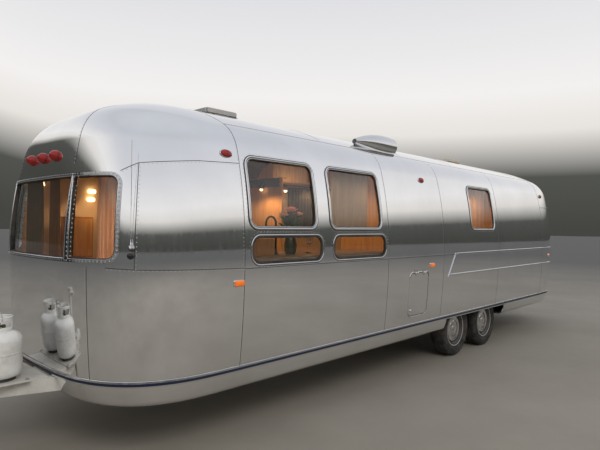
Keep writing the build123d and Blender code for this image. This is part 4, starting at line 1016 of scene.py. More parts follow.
def rivetTree():
    # Geometry Nodes: a low domed head on every point, turned to the "facing" attribute
    tree = bpy.data.node_groups.new("rivets", "GeometryNodeTree")
    face = tree.interface
    face.new_socket("Geometry", in_out="INPUT", socket_type="NodeSocketGeometry")
    ids = {}
    for label, value in (("Head radius", seamShape["head"]), ("Head height", seamShape["tall"])):
        socket = face.new_socket(label, in_out="INPUT", socket_type="NodeSocketFloat")
        socket.default_value = value
        ids[label] = socket.identifier
    ids["Finish"] = face.new_socket("Finish", in_out="INPUT", socket_type="NodeSocketMaterial").identifier
    face.new_socket("Geometry", in_out="OUTPUT", socket_type="NodeSocketGeometry")
    given = add(tree, "NodeGroupInput").outputs
    facing = add(tree, "GeometryNodeInputNamedAttribute", {"Name": "facing"}, data_type="FLOAT_VECTOR")
    align = add(tree, "FunctionNodeAlignRotationToVector", {"Vector": facing.outputs["Attribute"]}, axis="Z")
    head = add(tree, "GeometryNodeMeshCone", {"Vertices": 8, "Side Segments": 1, "Radius Bottom": 1.0, "Radius Top": 0.55,
                                              "Depth": 1.0})
    wide, tall = given["Head radius"], given["Head height"]
    scale = add(tree, "ShaderNodeCombineXYZ", {"X": wide, "Y": wide, "Z": tall})
    shape = add(tree, "GeometryNodeTransform", {"Geometry": head.outputs["Mesh"], "Scale": scale.outputs["Vector"]})
    soft = add(tree, "GeometryNodeSetShadeSmooth", {"Geometry": shape.outputs["Geometry"]})
    copies = add(tree, "GeometryNodeInstanceOnPoints", {"Points": given["Geometry"], "Instance": soft.outputs["Geometry"],
                                                        "Rotation": align.outputs["Rotation"]})
    real = add(tree, "GeometryNodeRealizeInstances", {"Geometry": copies.outputs["Instances"]})
    finish = add(tree, "GeometryNodeSetMaterial", {"Geometry": real.outputs["Geometry"], "Material": given["Finish"]})
    add(tree, "NodeGroupOutput", {"Geometry": finish.outputs["Geometry"]})
    return tree, ids


rivets, rivetInputs = rivetTree()


def studs(name, places, ways, finish, slot="polished_skin", body="caravan", size=(seamShape["head"], seamShape["tall"])):
    # One mesh of heads on the given points, through the rivets tree
    mesh = newMesh(name, places, [], False)
    mark = mesh.attributes.new("facing", "FLOAT_VECTOR", "POINT")
    mark.data.foreach_set("vector", [c for w in ways for c in w])
    obj = modify(newObject(name, mesh), "NODES", node_group=rivets)
    for label, value in (("Head radius", size[0]), ("Head height", size[1]), ("Finish", finish)):
        obj.modifiers[0][rivetInputs[label]] = value
    return dress(bake(obj), None, slot, body)


makeSeams()


def frameRivets():
    # Rows on the screen's frame and posts, and round the windows
    places, ways = [], []

    def row(points, step, proud=0.0):
        for p in spaced(points, step):
            n = skinNormal(p)
            places.append(p + n * proud)
            ways.append(n)

    for side in (1, -1):
        for y in (screen["half"] + 0.004, screen["half"] + screen["post"] - 0.006):
            row([ontoCap(Vector((seamX, side * y, 1.40 + 0.60 * k / 20)), east) for k in range(21)], 0.032, 0.0081)
        row(wingPath(side, 0.010)[0], 0.030, 0.0081)
    for z in (screen["foot"] + 0.010, screen["head"] - 0.010):
        row([ontoCap(Vector((seamX, -0.57 + 1.14 * k / 40, z)), east) for k in range(41)], 0.030, 0.0081)
    onScreen = len(places)
    for window in windows:
        row(windowPath(window, -0.013)[0], 0.034)
    studs("frameRivets", places[:onScreen], ways[:onScreen], polished, "bright_trim", size=(0.0062, 0.0030))
    studs("windowRivets", places[onScreen:], ways[onScreen:], trimBright, "bright_trim")


frameRivets()
print("seams and rivets ready")


# Lamps
def planeAt(p):
    # The level, upward and outward directions of the skin at a point
    n = skinNormal(p)
    level = above.cross(n).normalized()
    return level, n.cross(level).normalized(), n


def lens(name, p, wide, tall, height, amber=False, ribs=7, power=0.5, square=2.0):
    # An oval or rounded-square lens with pressed ribs, on a pale base ring
    level, up, out = planeAt(p)
    finish, slot, node = (amberLens, "amber_lens", "lamps_amber") if amber else (redLens, "red_lens", "lamps_red")
    count, rows, base, sunk = 48, 22, 0.006, -0.004

    def ring(share, rise):
        points = []
        for c, s in turns(count):
            r = (abs(c) ** square + abs(s) ** square) ** (-1 / square)
            points.append(p + level * (wide * share * r * c) + up * (tall * share * r * s) + out * rise)
        return points

    points = ring(1.0, sunk)
    for j in range(rows):
        share = 1 - j / rows
        rib = 0.0007 * cos(2 * pi * ribs * share) * (1 if 0.12 < share < 0.95 else 0)
        points += ring(share * 0.985, base + height * (1 - share ** 2.4) ** power + rib)
    points.append(p + out * (base + height))
    top = rows * count
    faces = bands(rows, count) + [(top + k, top + (k + 1) % count, len(points) - 1) for k in range(count)]
    faces.append(tuple(reversed(range(count))))
    piece(name, points, faces, finish, slot, "caravan", (node,), 60)
    rims = ((1.02, sunk), (1.17, sunk), (1.19, base * 0.4), (1.15, base * 0.9), (1.04, base * 1.3), (1.0, base * 0.9))
    rim = [q for share, rise in rims for q in ring(share, rise)]
    piece(name + "Base", rim, bands(6, count, wrap=6), trimBright, "bright_trim", sharp=60)


def turned(name, middle, profile, count, finish, slot, body="caravan", replaced=(), axes=(east, north, above)):
    # A body of revolution: profile is (radius, distance along the last axis)
    level, up, out = axes
    points, faces, rings = [], [], []
    for r, h in profile:
        some = count if r > 1e-6 else 1
        rings.append([len(points) + k for k in range(some)])
        if some == 1:
            points.append(middle + out * h)
        else:
            points += [middle + level * (r * c) + up * (r * s) + out * h for c, s in turns(count)]
    for a, b in zip(rings, rings[1:]):
        for k in range(count):
            m = (k + 1) % count
            corners = tuple(dict.fromkeys((a[k % len(a)], a[m % len(a)], b[m % len(b)], b[k % len(b)])))
            if len(corners) > 2:
                faces.append(corners)
    return piece(name, points, faces, finish, slot, body, replaced, 38)


def beehive(name, p):
    # Round roof lamp: a ribbed cone on a thin foot
    radius, height, axes = 0.0415, 0.048, planeAt(p)
    foot = [(0, -0.012), (1.05, -0.012), (1.05, 0.001), (1.02, 0.0025), (0.99, 0.003), (0, 0.003)]
    turned(name + "Cup", p, [(radius * a, b) for a, b in foot], 40, oldBrass, "bright_trim", axes=axes)
    shape = [(0, 0.001), (radius, 0.001)]
    for k in range(27):
        share = k / 26
        rib = 0.0016 * cos(2 * pi * 6 * share)
        shape.append((radius * (1 - share ** 2.2) ** 0.62 + rib * (1 - share), 0.004 + height * share))
    turned(name, p, shape + [(0, 0.004 + height)], 40, redLens, "red_lens", replaced=("lamps_red",), axes=axes)


def makeLamps():
    oval, block = (0.050, 0.028, 0.016), (0.044, 0.0210, 0.018, True, 3, 0.3, 6)

    def onCap(front, degrees, z):
        return capPoint(front, radians(degrees if side == 1 else 180 - degrees), z)

    for side, name in sides:
        lens("frontMarker" + name, onCap(True, 6, 2.188), *oval)
        lens("middleMarker" + name, sidePoint(side, behind(2.665), 2.188), *oval)
        lens("rearMarker" + name, onCap(False, 6, 2.188), *oval)
        lens("frontTurnLamp" + name, onCap(True, 2.5, 1.225), *block)
        lens("middleTurnLamp" + name, sidePoint(side, behind(2.775), 1.225), *block)
        lens("tailMarker" + name, onCap(False, 15, 1.210), 0.022, 0.022, 0.010, True, 4)
        lens("tailLamp" + name, onCap(False, 58, 1.210), 0.108, 0.050, 0.016, False, 6, 0.3, 5)
    for n, y in enumerate((-0.25, 0.0, 0.25)):
        beehive(f"roofMarker{n}", capPoint(True, pi / 2 - asin(y / shell["frontDepth"]), 2.150))


makeLamps()
print("lamps ready")


# Wheels: treaded tyres and pressed hubcaps
tyreShape = {"radius": 0.345, "width": 0.205, "lineIn": 0.2085, "lineOut": 0.2160, "hubY": 0.955, "sides": 108, "profile": [
    (0.1945, 0.66), (0.199, 0.735), (0.204, 0.755), (0.2085, 0.80), (0.2088, 0.812), (0.2157, 0.826), (0.216, 0.815),
    (0.228, 0.875), (0.250, 0.945), (0.268, 0.985), (0.270, 1.0), (0.276, 1.0), (0.278, 0.985), (0.300, 0.965),
    (0.318, 0.915), (0.330, 0.845), (0.3345, 0.80), (0.3395, 0.765), (0.3425, 0.70), (0.3435, 0.52), (0.3365, 0.50),
    (0.3365, 0.44), (0.3442, 0.42), (0.3448, 0.18), (0.3375, 0.16), (0.3375, 0.09), (0.3450, 0.07), (0.3450, 0.0)]}
hubcap = {"sides": 96, "flutes": 8, "sheet": 0.0015, "profile": [
    (0.0, 0.0560), (0.012, 0.0560), (0.022, 0.0545), (0.030, 0.0505), (0.033, 0.0490), (0.050, 0.0500), (0.066, 0.0535),
    (0.080, 0.0560), (0.090, 0.0565), (0.098, 0.0550), (0.102, 0.0530), (0.124, 0.0500), (0.128, 0.0500),
    (0.136, 0.0510), (0.148, 0.0550), (0.156, 0.0560), (0.162, 0.0520), (0.164, 0.0450)]}
wheelBodies = {1: "front_left_wheel", 2: "front_right_wheel", 3: "rear_left_wheel", 4: "rear_right_wheel"}


def onWheel(x, side, radius, across, angle):
    centre = Vector((x, side * tyreShape["hubY"], tyreShape["radius"]))
    return centre + Vector((radius * sin(angle), side * across, radius * cos(angle)))


def makeTyre(number, x, side):
    half, count = tyreShape["width"] / 2, tyreShape["sides"]
    profile = tyreShape["profile"]
    profile = profile + [(a, -b) for a, b in profile[-2::-1]]
    points = []
    for k in range(count):
        for radius, across in profile:
            edge = abs(across)
            if 0.49 < edge < 0.82 and radius > 0.332 and (k + (across > 0)) % 3 == 0:
                radius -= 0.007
            elif edge < 0.45 and radius > 0.340 and (k + 2 * (across > 0.2) + 1) % 6 == 0:
                radius -= 0.004
            points.append(onWheel(x, side, radius, across * half, 2 * pi * k / count))
    # The pale line takes material 1
    near, far = tyreShape["lineIn"], tyreShape["lineOut"]
    marks = [int(b > 0 and near < (a + c) / 2 < far) for (a, b), (c, d) in zip(profile, profile[1:])]
    mesh = newMesh(f"tyreTread{number}", points, bands(count, len(profile), wrap=count))
    mesh.polygons.foreach_set("material_index", (marks + [0]) * count)
    outward(mesh, None).set_sharp_from_angle(angle=radians(32))
    for finish in (tyreRubber, lineRubber):
        mesh.materials.append(finish)
    dress(newObject(mesh.name, mesh), None, "tyre", wheelBodies[number], (f"tyre_{number}",))


def makeHubcap(number, x, side):
    # A pressed dome: raised centre, a ring of shallow flutes, and a rolled rim
    count, width = hubcap["sides"], len(hubcap["profile"])
    points = []
    for k in range(count):
        angle = 2 * pi * k / count
        flute = 0.0022 * max(0.0, cos(hubcap["flutes"] * angle)) ** 2
        points += [onWheel(x, side, r, out - flute if 0.1015 < r < 0.1285 else out, angle) for r, out in hubcap["profile"]]
    faces = [face for k, face in enumerate(bands(count, width, wrap=count), 1) if k % width]
    name = f"hubcapPressed{number}"
    obj = newObject(name, outward(newMesh(name, points, faces), side=side))
    bake(modify(obj, "SOLIDIFY", thickness=hubcap["sheet"], offset=-1)).data.set_sharp_from_angle(angle=radians(35))
    dress(obj, hubMetal, "chrome", wheelBodies[number], (f"hubcap_{number}",))


for number, body in wheelBodies.items():
    x, side = behind(3.716 + (number - 1) // 2 * 0.854), 1 if number % 2 else -1
    makeTyre(number, x, side)
    makeHubcap(number, x, side)
print("wheels ready")


# Gas bottles, their rack, the tongue's fastenings and the jack
bottle = {"radius": 0.155, "forward": 0.318, "aside": 0.183, "foot": 0.560, "shoulder": 0.345, "collar": 0.090,
          "collarTall": 0.110, "sheet": 0.0035, "slotTurn": 108}
nose = seamX + 1.03999


def closedBands(rows, count, base=0):
    # Bands with both ends closed
    last = base + rows * count
    return bands(rows, count, base) + [tuple(reversed(range(base, base + count))), tuple(range(last, last + count))]


def bentTube(name, path, radius, finish, slot="bare_steel", body="caravan", count=12):
    # A round rod along a list of points
    points, across = [], None
    for k, p in enumerate(path):
        along = (path[min(k + 1, len(path) - 1)] - path[max(k - 1, 0)]).normalized()
        if across is None:
            across = along.orthogonal().normalized()
        across = (across - along * across.dot(along)).normalized()
        other = along.cross(across)
        points += [p + (across * c + other * s) * radius for c, s in turns(count)]
    return piece(name, points, closedBands(len(path) - 1, count), finish, slot, body, sharp=50)


def makeBottle(name, side):
    r, h, c = bottle["radius"], bottle["shoulder"], bottle["collar"]
    place = Vector((nose + bottle["forward"], side * bottle["aside"], bottle["foot"]))
    profile = [(0, 0.018), (0.102, 0.018), (0.124, 0.025)]
    profile += [(0.124 + (r - 0.124) * sin(pi / 2 * k / 8), 0.072 - 0.047 * cos(pi / 2 * k / 8)) for k in range(9)]
    bead = ((0, 0.076), (0, 0.180), (0, 0.183), (0.0013, 0.186), (0.0017, 0.190), (0.0013, 0.194), (0, 0.197), (0, 0.200),
            (0, h - 0.082))
    profile += [(r + a, b) for a, b in bead]
    for k in range(13):
        a = pi / 2 * k / 12
        profile.append((0.046 + (r - 0.046) * cos(a) ** 0.82, h - 0.078 + 0.078 * sin(a)))
    turned(name + "Tank", place, profile + [(0, h)], 72, bottlePaint, "bottle_white", replaced=("gas_bottles",))
    ring = [(0.100, 0.020), (0.104, 0.004), (0.101, 0.0), (0.117, 0.0), (0.115, 0.004), (0.112, 0.023)]
    # The foot ring is black: painted shade for the dark gap under the tank
    turned(name + "FootRing", place, ring, 72, blackPaint, "frame_black")
    # The collar: a rolled sheet with two wide slots and its valve inside
    low, count = h - 0.014, 72
    top = low + bottle["collarTall"] - 0.006
    levels = [low, h + 0.022, h + 0.030, h + 0.062, h + 0.070, top]
    points = [place + Vector((c * u, c * v, z)) for z in levels for u, v in turns(count)]
    faces = []
    for j, face in enumerate(bands(len(levels) - 1, count)):
        angle = (360 * (j % count + 0.5) / count - bottle["slotTurn"]) % 180
        if min(angle, 180 - angle) >= (0, 31, 36, 31, 0)[j // count]:
            faces.append(face)
    collar = newObject(name + "Collar", newMesh(name + "Collar", points, faces))
    modify(collar, "SOLIDIFY", thickness=bottle["sheet"], offset=0)
    bake(modify(collar, "BEVEL", width=0.0010, segments=2, limit_method="ANGLE", angle_limit=radians(60)))
    outward(collar.data).set_sharp_from_angle(angle=radians(35))
    dress(collar, bottlePaint, "bottle_white")
    lip = [(c + 0.0045 * u, top + 0.0045 * v) for u, v in turns(10)]
    turned(name + "Lip", place, lip + lip[:1], 72, bottlePaint, "bottle_white")
    valve = [(0, -0.004), (0.022, -0.004), (0.022, 0.006), (0.0125, 0.009), (0.0125, 0.030), (0.016, 0.032),
             (0.016, 0.044), (0.010, 0.047), (0.0065, 0.052), (0.0065, 0.060), (0, 0.060)]
    turned(name + "Valve", place, [(a, h + b) for a, b in valve], 28, oldBrass, "bare_steel")
    outlet = [(0, 0.0), (0.009, 0.0), (0.009, 0.018), (0.0135, 0.019), (0.0135, 0.036), (0.0095, 0.040), (0, 0.040)]
    at = place + Vector((-0.008, 0, h + 0.022))
    turned(name + "Outlet", at, outlet, 6, oldBrass, "bare_steel", axes=(north, above, -east))
    # Handwheel with lobes
    wheel, count = [], 60
    rings = [(0.006, 0.0), (1.0, 0.0), (1.06, 0.004), (1.0, 0.012), (0.55, 0.014), (0.006, 0.010)]
    for share, rise in rings:
        for k in range(count):
            a = 2 * pi * k / count
            reach = share if share < 0.01 else share * (0.0205 + 0.0022 * cos(6 * a))
            wheel.append(place + Vector((reach * cos(a), reach * sin(a), h + 0.058 + rise)))
    piece(name + "Handwheel", wheel, closedBands(len(rings) - 1, count), blackPaint, "frame_black", sharp=40)
    # Its bail handle, a bent wire across the collar
    arch = [(-c - 0.001, -0.020), (-c - 0.001, 0)]
    arch += [(-c * cos(pi * k / 24) * 1.01, 0.004 + 0.040 * sin(pi * k / 24)) for k in range(25)]
    arch += [(c + 0.001, 0), (c + 0.001, -0.020)]
    bentTube(name + "Handle", [place + Vector((0, y, top + z)) for y, z in arch], 0.0028, bareSteel)


def nuts(name, places, ways, radius, tall):
    # Hexagon heads on washers, as one mesh
    washer = [(radius * 1.35, 0.0), (radius * 1.35, tall * 0.22)]
    head = [(radius, tall * 0.22), (radius, tall * 0.85), (radius * 0.86, tall)]
    points, faces = [], []
    for p, out in zip(places, ways):
        across = out.orthogonal().normalized()
        other = out.cross(across)
        for rings, n in ((washer, 20), (head, 6)):
            faces += closedBands(len(rings) - 1, n, len(points))
            for r, h in rings:
                points += [p + (across * c + other * s) * r + out * h for c, s in turns(n)]
    piece(name, points, faces, bareSteel, "bare_steel", smooth=False)


def weld(name, start, end):
    # A rippled bead between two points
    steps, around = max(8, int((end - start).length / 0.004)), 8
    path = [start + (end - start) * k / steps for k in range(steps + 1)]
    obj = bentTube(name, path, 0.006, framePaint, "frame_pale", count=around)
    for k, v in enumerate(obj.data.vertices):
        ring = k // around
        if ring <= steps:
            v.co = path[ring] + (v.co - path[ring]) * (1 + 0.16 * cos(ring * 2.1))


def makeTongue():
    for side, name in sides:
        makeBottle("bottle" + name, side)
    x = nose + bottle["forward"]
    top = bottle["foot"] + bottle["shoulder"] + 0.110 - 0.015 + 0.0003 + 0.008
    nuts("rackNut", [Vector((x, 0, top))], [above], 0.012, 0.014)
    wings = ((-0.034, 0.030), (-0.020, 0.020), (-0.008, 0.012), (0.008, 0.012), (0.020, 0.020), (0.034, 0.030))
    bentTube("rackWings", [Vector((x, y, top + z)) for y, z in wings], 0.0042, bareSteel)
    jackX, ballX, deck = nose + 0.690, nose + 1.030 - 0.062, 0.548 + 0.0001
    places = [Vector((x + dx, dy, bottle["foot"])) for dx in (-0.148, 0.148) for dy in (-0.325, 0.0, 0.325)]
    places += [Vector((jackX + dx, dy, 0.556)) for dx in (-0.042, 0.042) for dy in (-0.105, 0.105)]
    nuts("tongueBolts", places, [above] * len(places), 0.0095, 0.009)
    for side, name in sides:
        weld("jackWeld" + name, Vector((jackX - 0.060, side * 0.140, deck)), Vector((jackX + 0.060, side * 0.140, deck)))
    nuts("couplerBolts", [Vector((ballX - 0.115 - 0.05 * k, side * 0.0452, 0.540)) for k in range(2) for side in (1, -1)],
         [north * side for k in range(2) for side in (1, -1)], 0.009, 0.008)
    # The coupler's latch, a bent strap
    latch = ((-0.150, 0.572), (-0.120, 0.592), (-0.085, 0.604), (-0.045, 0.606))
    bentTube("couplerLatch", [Vector((ballX + dx, 0, z)) for dx, z in latch], 0.0065, bareSteel)


makeTongue()
print("tongue ready")


def makeAntenna():
    # Whip aerial on a ball mount, beside the front screen
    p = capPoint(True, radians(38.3), 1.445)
    axes = planeAt(p)
    mount = [(0, -0.002), (0.021, -0.002), (0.021, 0.002), (0.017, 0.005), (0.010, 0.007), (0.010, 0.011), (0, 0.011)]
    turned("aerialMount", p, mount, 32, blackPaint, "chrome", replaced=("antenna",), axes=axes)
    foot = p + axes[2] * 0.0243
    ball = [(0.0235 * sin(pi * k / 18), -0.0235 * cos(pi * k / 18)) for k in range(19)]
    turned("aerialBall", foot, ball, 36, glossBlack, "chrome")
    stem = [(0, 0.018), (0.0130, 0.018), (0.0150, 0.026), (0.0150, 0.058), (0.0110, 0.066), (0.0060, 0.070), (0.0050, 0.086),
            (0.0022, 0.092), (0.0016, 0.420), (0.0012, 0.752), (0.0026, 0.754), (0.0028, 0.757), (0.0020, 0.7595), (0, 0.760)]
    turned("aerialWhip", foot, stem, 20, chrome, "chrome")


def makeRoofFittings():
    # A screw row round each vent's curb; the lids' ribs are in their material, because nothing may rise over them
    row = [0.05 * k - 0.15 for k in range(7)]
    spots = [(s * 0.190, d, s, 0) for s in (1, -1) for d in row] + [(d, s * 0.190, 0, s) for s in (1, -1) for d in row]
    for name, x in zip(("Front", "Rear"), ventMiddles):
        places = [Vector((x + dx, dy, crownZ + 0.010)) for dx, dy, u, v in spots]
        studs("ventScrews" + name, places, [Vector((u, v, 0)) for dx, dy, u, v in spots], bareSteel, "dull_aluminium",
              size=(0.0042, 0.002))


def makeHatchTrim():
    # A rolled ring round the service hatch and the lock's face
    rim = [(0.0, -0.004), (-0.001, 0.0022), (-0.004, 0.0042), (-0.010, 0.0042), (-0.013, 0.0020), (-0.014, -0.004)]
    ringAlong("hatchSurround", *windowPath(hatchWindow, -0.0065), rim, trimBright)
    p = sidePoint(1, behind(hatch["front"] + 0.045), hatch["foot"] + 0.055)
    face = [(0, 0.0), (0.0125, 0.0), (0.0125, 0.0095), (0.0110, 0.0105), (0.0060, 0.0105), (0.0055, 0.0090), (0, 0.0090)]
    turned("hatchLock", p, face, 28, chrome, "chrome", "service_hatch_lid", axes=planeAt(p))


def makeDoorTrim():
    # The door's rolled edge and a row of rivets inside it
    edge = [(0.0, -0.002), (0.0, 0.0015), (0.004, 0.0030), (0.010, 0.0030), (0.014, 0.0015), (0.014, -0.002)]
    ringAlong("doorEdge", *windowPath(doorOpening, 0.012), edge, trimBright, "entry_door")
    places = spaced(windowPath(doorOpening, 0.030)[0], 0.045)
    studs("doorRivets", places, [skinNormal(p) for p in places], polished, body="entry_door")
    # On its inner face: a rim, a kick plate's bead and a pull bar
    for label, inset, low, high in (("Rim", 0.045, door["foot"], door["head"]), ("Kick", 0.070, door["foot"] + 0.030, 1.180)):
        points, normals = windowPath((*doorOpening[:4], low, high, door["corner"] - 0.030), inset)
        points = [p - n * 0.0448 for p, n in zip(points, normals)][::-1]
        normals = [-n for n in normals][::-1]
        ringAlong("doorInner" + label, points, normals, dome(0.0, 0.014, 0.0045), trimBright, "entry_door")
    x = behind(door["front"] + door["width"] - 0.085)
    grip = [sidePoint(-1, x, z) + Vector((0, 0.045 + rise, 0)) for z, rise in
            ((1.26, 0.0), (1.265, 0.030), (1.285, 0.042), (1.40, 0.044), (1.515, 0.042), (1.535, 0.030), (1.54, 0.0))]
    bentTube("doorPull", grip, 0.007, chrome, "chrome", "entry_door", 16)


makeAntenna()
makeRoofFittings()
makeHatchTrim()
makeDoorTrim()
print("fittings ready")


# What shows through the windows: curtains, lamps, cupboard fronts and what stands on the counter
def curtain(name, path, top, foot, pleat, folds, finish):
    # path is the rail as (x, y) points; pleats swing to both sides of it and open towards the foot
    rail = [Vector((x, y, 0)) for x, y in path]
    line = [a + (b - a) * j / 40 for a, b in zip(rail, rail[1:]) for j in range(40)] + [rail[-1]]
    total = sum((b - a).length for a, b in zip(line, line[1:]))
    count, rows = folds * 14, 36
    columns, run, k = [], 0.0, 0
    for n in range(count + 1):
        want = total * n / count
        while k < len(line) - 2 and run + (line[k + 1] - line[k]).length < want:
            run += (line[k + 1] - line[k]).length
            k += 1
        part = line[k + 1] - line[k]
        p = line[k] + part * max(0.0, min(1.0, (want - run) / max(part.length, 1e-9)))
        columns.append((p, Vector((-part.y, part.x, 0)).normalized()))
    sheetRows = []
    for j in range(rows + 1):
        share, row = j / rows, []
        for n, (p, aside) in enumerate(columns):
            phase = 2 * pi * folds * n / count
            depth = pleat * (0.45 + 0.55 * min(1.0, share * 1.6)) * (0.8 + 0.2 * sin(phase * 0.37 + 1.3))
            swing = depth * sin(phase + 0.5 * sin(phase * 0.29))
            row.append(Vector((p.x, p.y, top + (foot - top) * share)) + aside * swing)
        sheetRows.append(row)
    mesh = newMesh(name, *grid(sheetRows))
    uv = mesh.uv_layers.new(name="cloth")
    flat, tall = [0.0], abs(top - foot)
    for a, b in zip(sheetRows[rows // 2], sheetRows[rows // 2][1:]):
        flat.append(flat[-1] + (b - a).length)
    for loop in mesh.loops:
        j, n = divmod(loop.vertex_index, count + 1)
        uv.data[loop.index].uv = (flat[n], (rows - j) / rows * tall)
    obj = dress(newObject(name, mesh), finish, "seat_cloth")


def railRod(name, path, z):
    bentTube(name, [Vector((x, y, z)) for x, y in path], 0.006, trimBright, "bright_trim")


def insideCap(angle, z, inset):
    # A place inside the front cap's wall
    a = radians(angle)
    r = wallRadius(*sliceValues(True, a), z) - shell["skin"] - inset
    return seamX + r * sin(a), r * cos(a)


def makeCurtains():
    # The rail follows the front screen; the cloth parts at the middle and at the wings
    railRod("screenRail", [insideCap(a, 2.03, 0.035) for a in range(34, 147, 4)], 2.032)
    for name, start, stop, folds, finish, pleat in (
            ("Left", 39, 52, 8, peachCloth, 0.014), ("MiddleLeft", 79, 90.5, 7, warmCloth, 0.016),
            ("MiddleRight", 98.5, 123, 14, brownCloth, 0.016), ("Right", 128, 141, 8, peachCloth, 0.014)):
        path = [insideCap(start + (stop - start) * k / 8, 2.03, 0.035) for k in range(9)]
        curtain("screenCurtain" + name, path, 2.024, 1.392, pleat, folds, finish)
    # Side windows: name, side, front and back edge of the cloth, foot, pleats, finish
    head, overlap = 2.205, 0.03
    for name, side, front, back, foot, folds, finish in (
            ("dinetteCurtain", 1, 1.185, 1.765, 1.615, 5, tanCloth),
            ("bedroomCurtain", 1, 3.770, 4.500, 1.615, 6, orangeCloth),
            ("bedroomCurtainRight", -1, 3.770, 4.500, 1.615, 20, orangeCloth),
            # The middle window's cloth is painted shade: near black, with no light through it
            ("middleCurtain", -1, 2.690, 3.460, 1.600, 12, paintedShadeCloth),
            ("washroomCurtain", -1, 5.250, 5.850, 1.615, 16, tanCloth),
            ("loungeCurtainFront", -1, 0.040, 0.260, 1.345, 8, tanCloth),
            ("loungeCurtainBack", -1, 0.640, 0.860, 1.345, 8, tanCloth)):
        y = side * (wallRadius(*sideValues, 2.215) - shell["skin"] - 0.030)
        railRod(name + "Rail", [(behind(front - overlap), y), (behind(back + overlap), y)], 2.213)
        curtain(name, [(behind(front), y), (behind(back), y)], head, foot, 0.011, folds, finish)
    half, x = 0.56, rearSeamX - 0.86
    railRod("rearRail", [(x, -half - overlap), (x, half + overlap)], 2.035)
    for name, low, high in (("Left", half, 0.12), ("Right", -0.12, -half)):
        curtain("rearCurtain" + name, [(x, low), (x, high)], 2.028, 1.440, 0.014, 12, orangeCloth)


makeCurtains()
print("curtains ready")


def plank(name, low, high, finish, slot="cabinet_wood", edge=0.002):
    # A board with eased edges
    (x0, y0, z0), (x1, y1, z1) = low, high
    points = [Vector((x, y, z)) for z in (z0, z1) for x, y in ((x0, y0), (x1, y0), (x1, y1), (x0, y1))]
    faces = [(3, 2, 1, 0), (4, 5, 6, 7), (0, 1, 5, 4), (1, 2, 6, 5), (2, 3, 7, 6), (3, 0, 4, 7)]
    obj = newObject(name, outward(newMesh(name, points, faces, False)))
    bake(modify(obj, "BEVEL", width=edge, segments=2, limit_method="NONE"))
    obj.data.shade_smooth()
    obj.data.set_sharp_from_angle(angle=radians(40))
    dress(obj, finish, slot)


def makeCabinetFronts():
    # Doors and drawer fronts on the galley, doors on the lockers, each with a pull
    low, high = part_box("galley_cabinet")
    face, count = low[1], 5
    wide = (high[0] - low[0]) / count
    pulls = []
    for k in range(count):
        x0, x1 = low[0] + k * wide + 0.006, low[0] + (k + 1) * wide - 0.006
        plank(f"galleyDrawer{k}", (x0, face - 0.016, high[2] - 0.165), (x1, face - 0.0003, high[2] - 0.012), cabinetWood)
        plank(f"galleyDoor{k}", (x0, face - 0.016, low[2] + 0.080), (x1, face - 0.0003, high[2] - 0.175), cabinetWood)
        pulls += [(Vector(((x0 + x1) / 2, face - 0.016, high[2] - drop)), -north) for drop in (0.088, 0.215)]
    rows = (("lockerLeft", 1, 0.900, 3.500, 6), ("lockerFrontRight", -1, 0.060, 1.000, 2), ("lockerRight", -1, 2.110, 6.000, 9))
    for name, side, front, back, doors in rows:
        y, wide = side * 0.760, (back - front) / doors
        for k in range(doors):
            x1, x0 = behind(front + k * wide) - 0.004, behind(front + (k + 1) * wide) + 0.004
            near, far = sorted((y - side * 0.0003, y - side * 0.016))
            plank(f"{name}{k}", (x0, near, 2.246), (x1, far, 2.494), paleWood)
            pulls.append((Vector(((x0 + x1) / 2, y - side * 0.016, 2.280)), north * -side))
    knob = [(0, 0), (0.0055, 0.0), (0.0045, 0.010), (0.0085, 0.014), (0.0105, 0.019), (0.0080, 0.0235), (0, 0.0245)]
    for k, (p, out) in enumerate(pulls):
        turned(f"knob{k}", p, knob, 16, brass, "chrome", axes=(east, above, out))


def blade(points, faces, base, along, side, out, long, wide, curl):
    # One petal or leaf, as a curved strip of ten quads
    start = len(points)
    for k in range(6):
        t = k / 5
        span = wide * sin(pi * min(1, t * 0.92 + 0.06)) ** 0.8
        centre = base + along * (long * t) + out * (curl * t * t)
        points += [centre - side * span, centre + out * (0.12 * wide), centre + side * span]
    faces += [(a, a + 1, a + 4, a + 3) for k in range(5) for a in (start + k * 3, start + k * 3 + 1)]


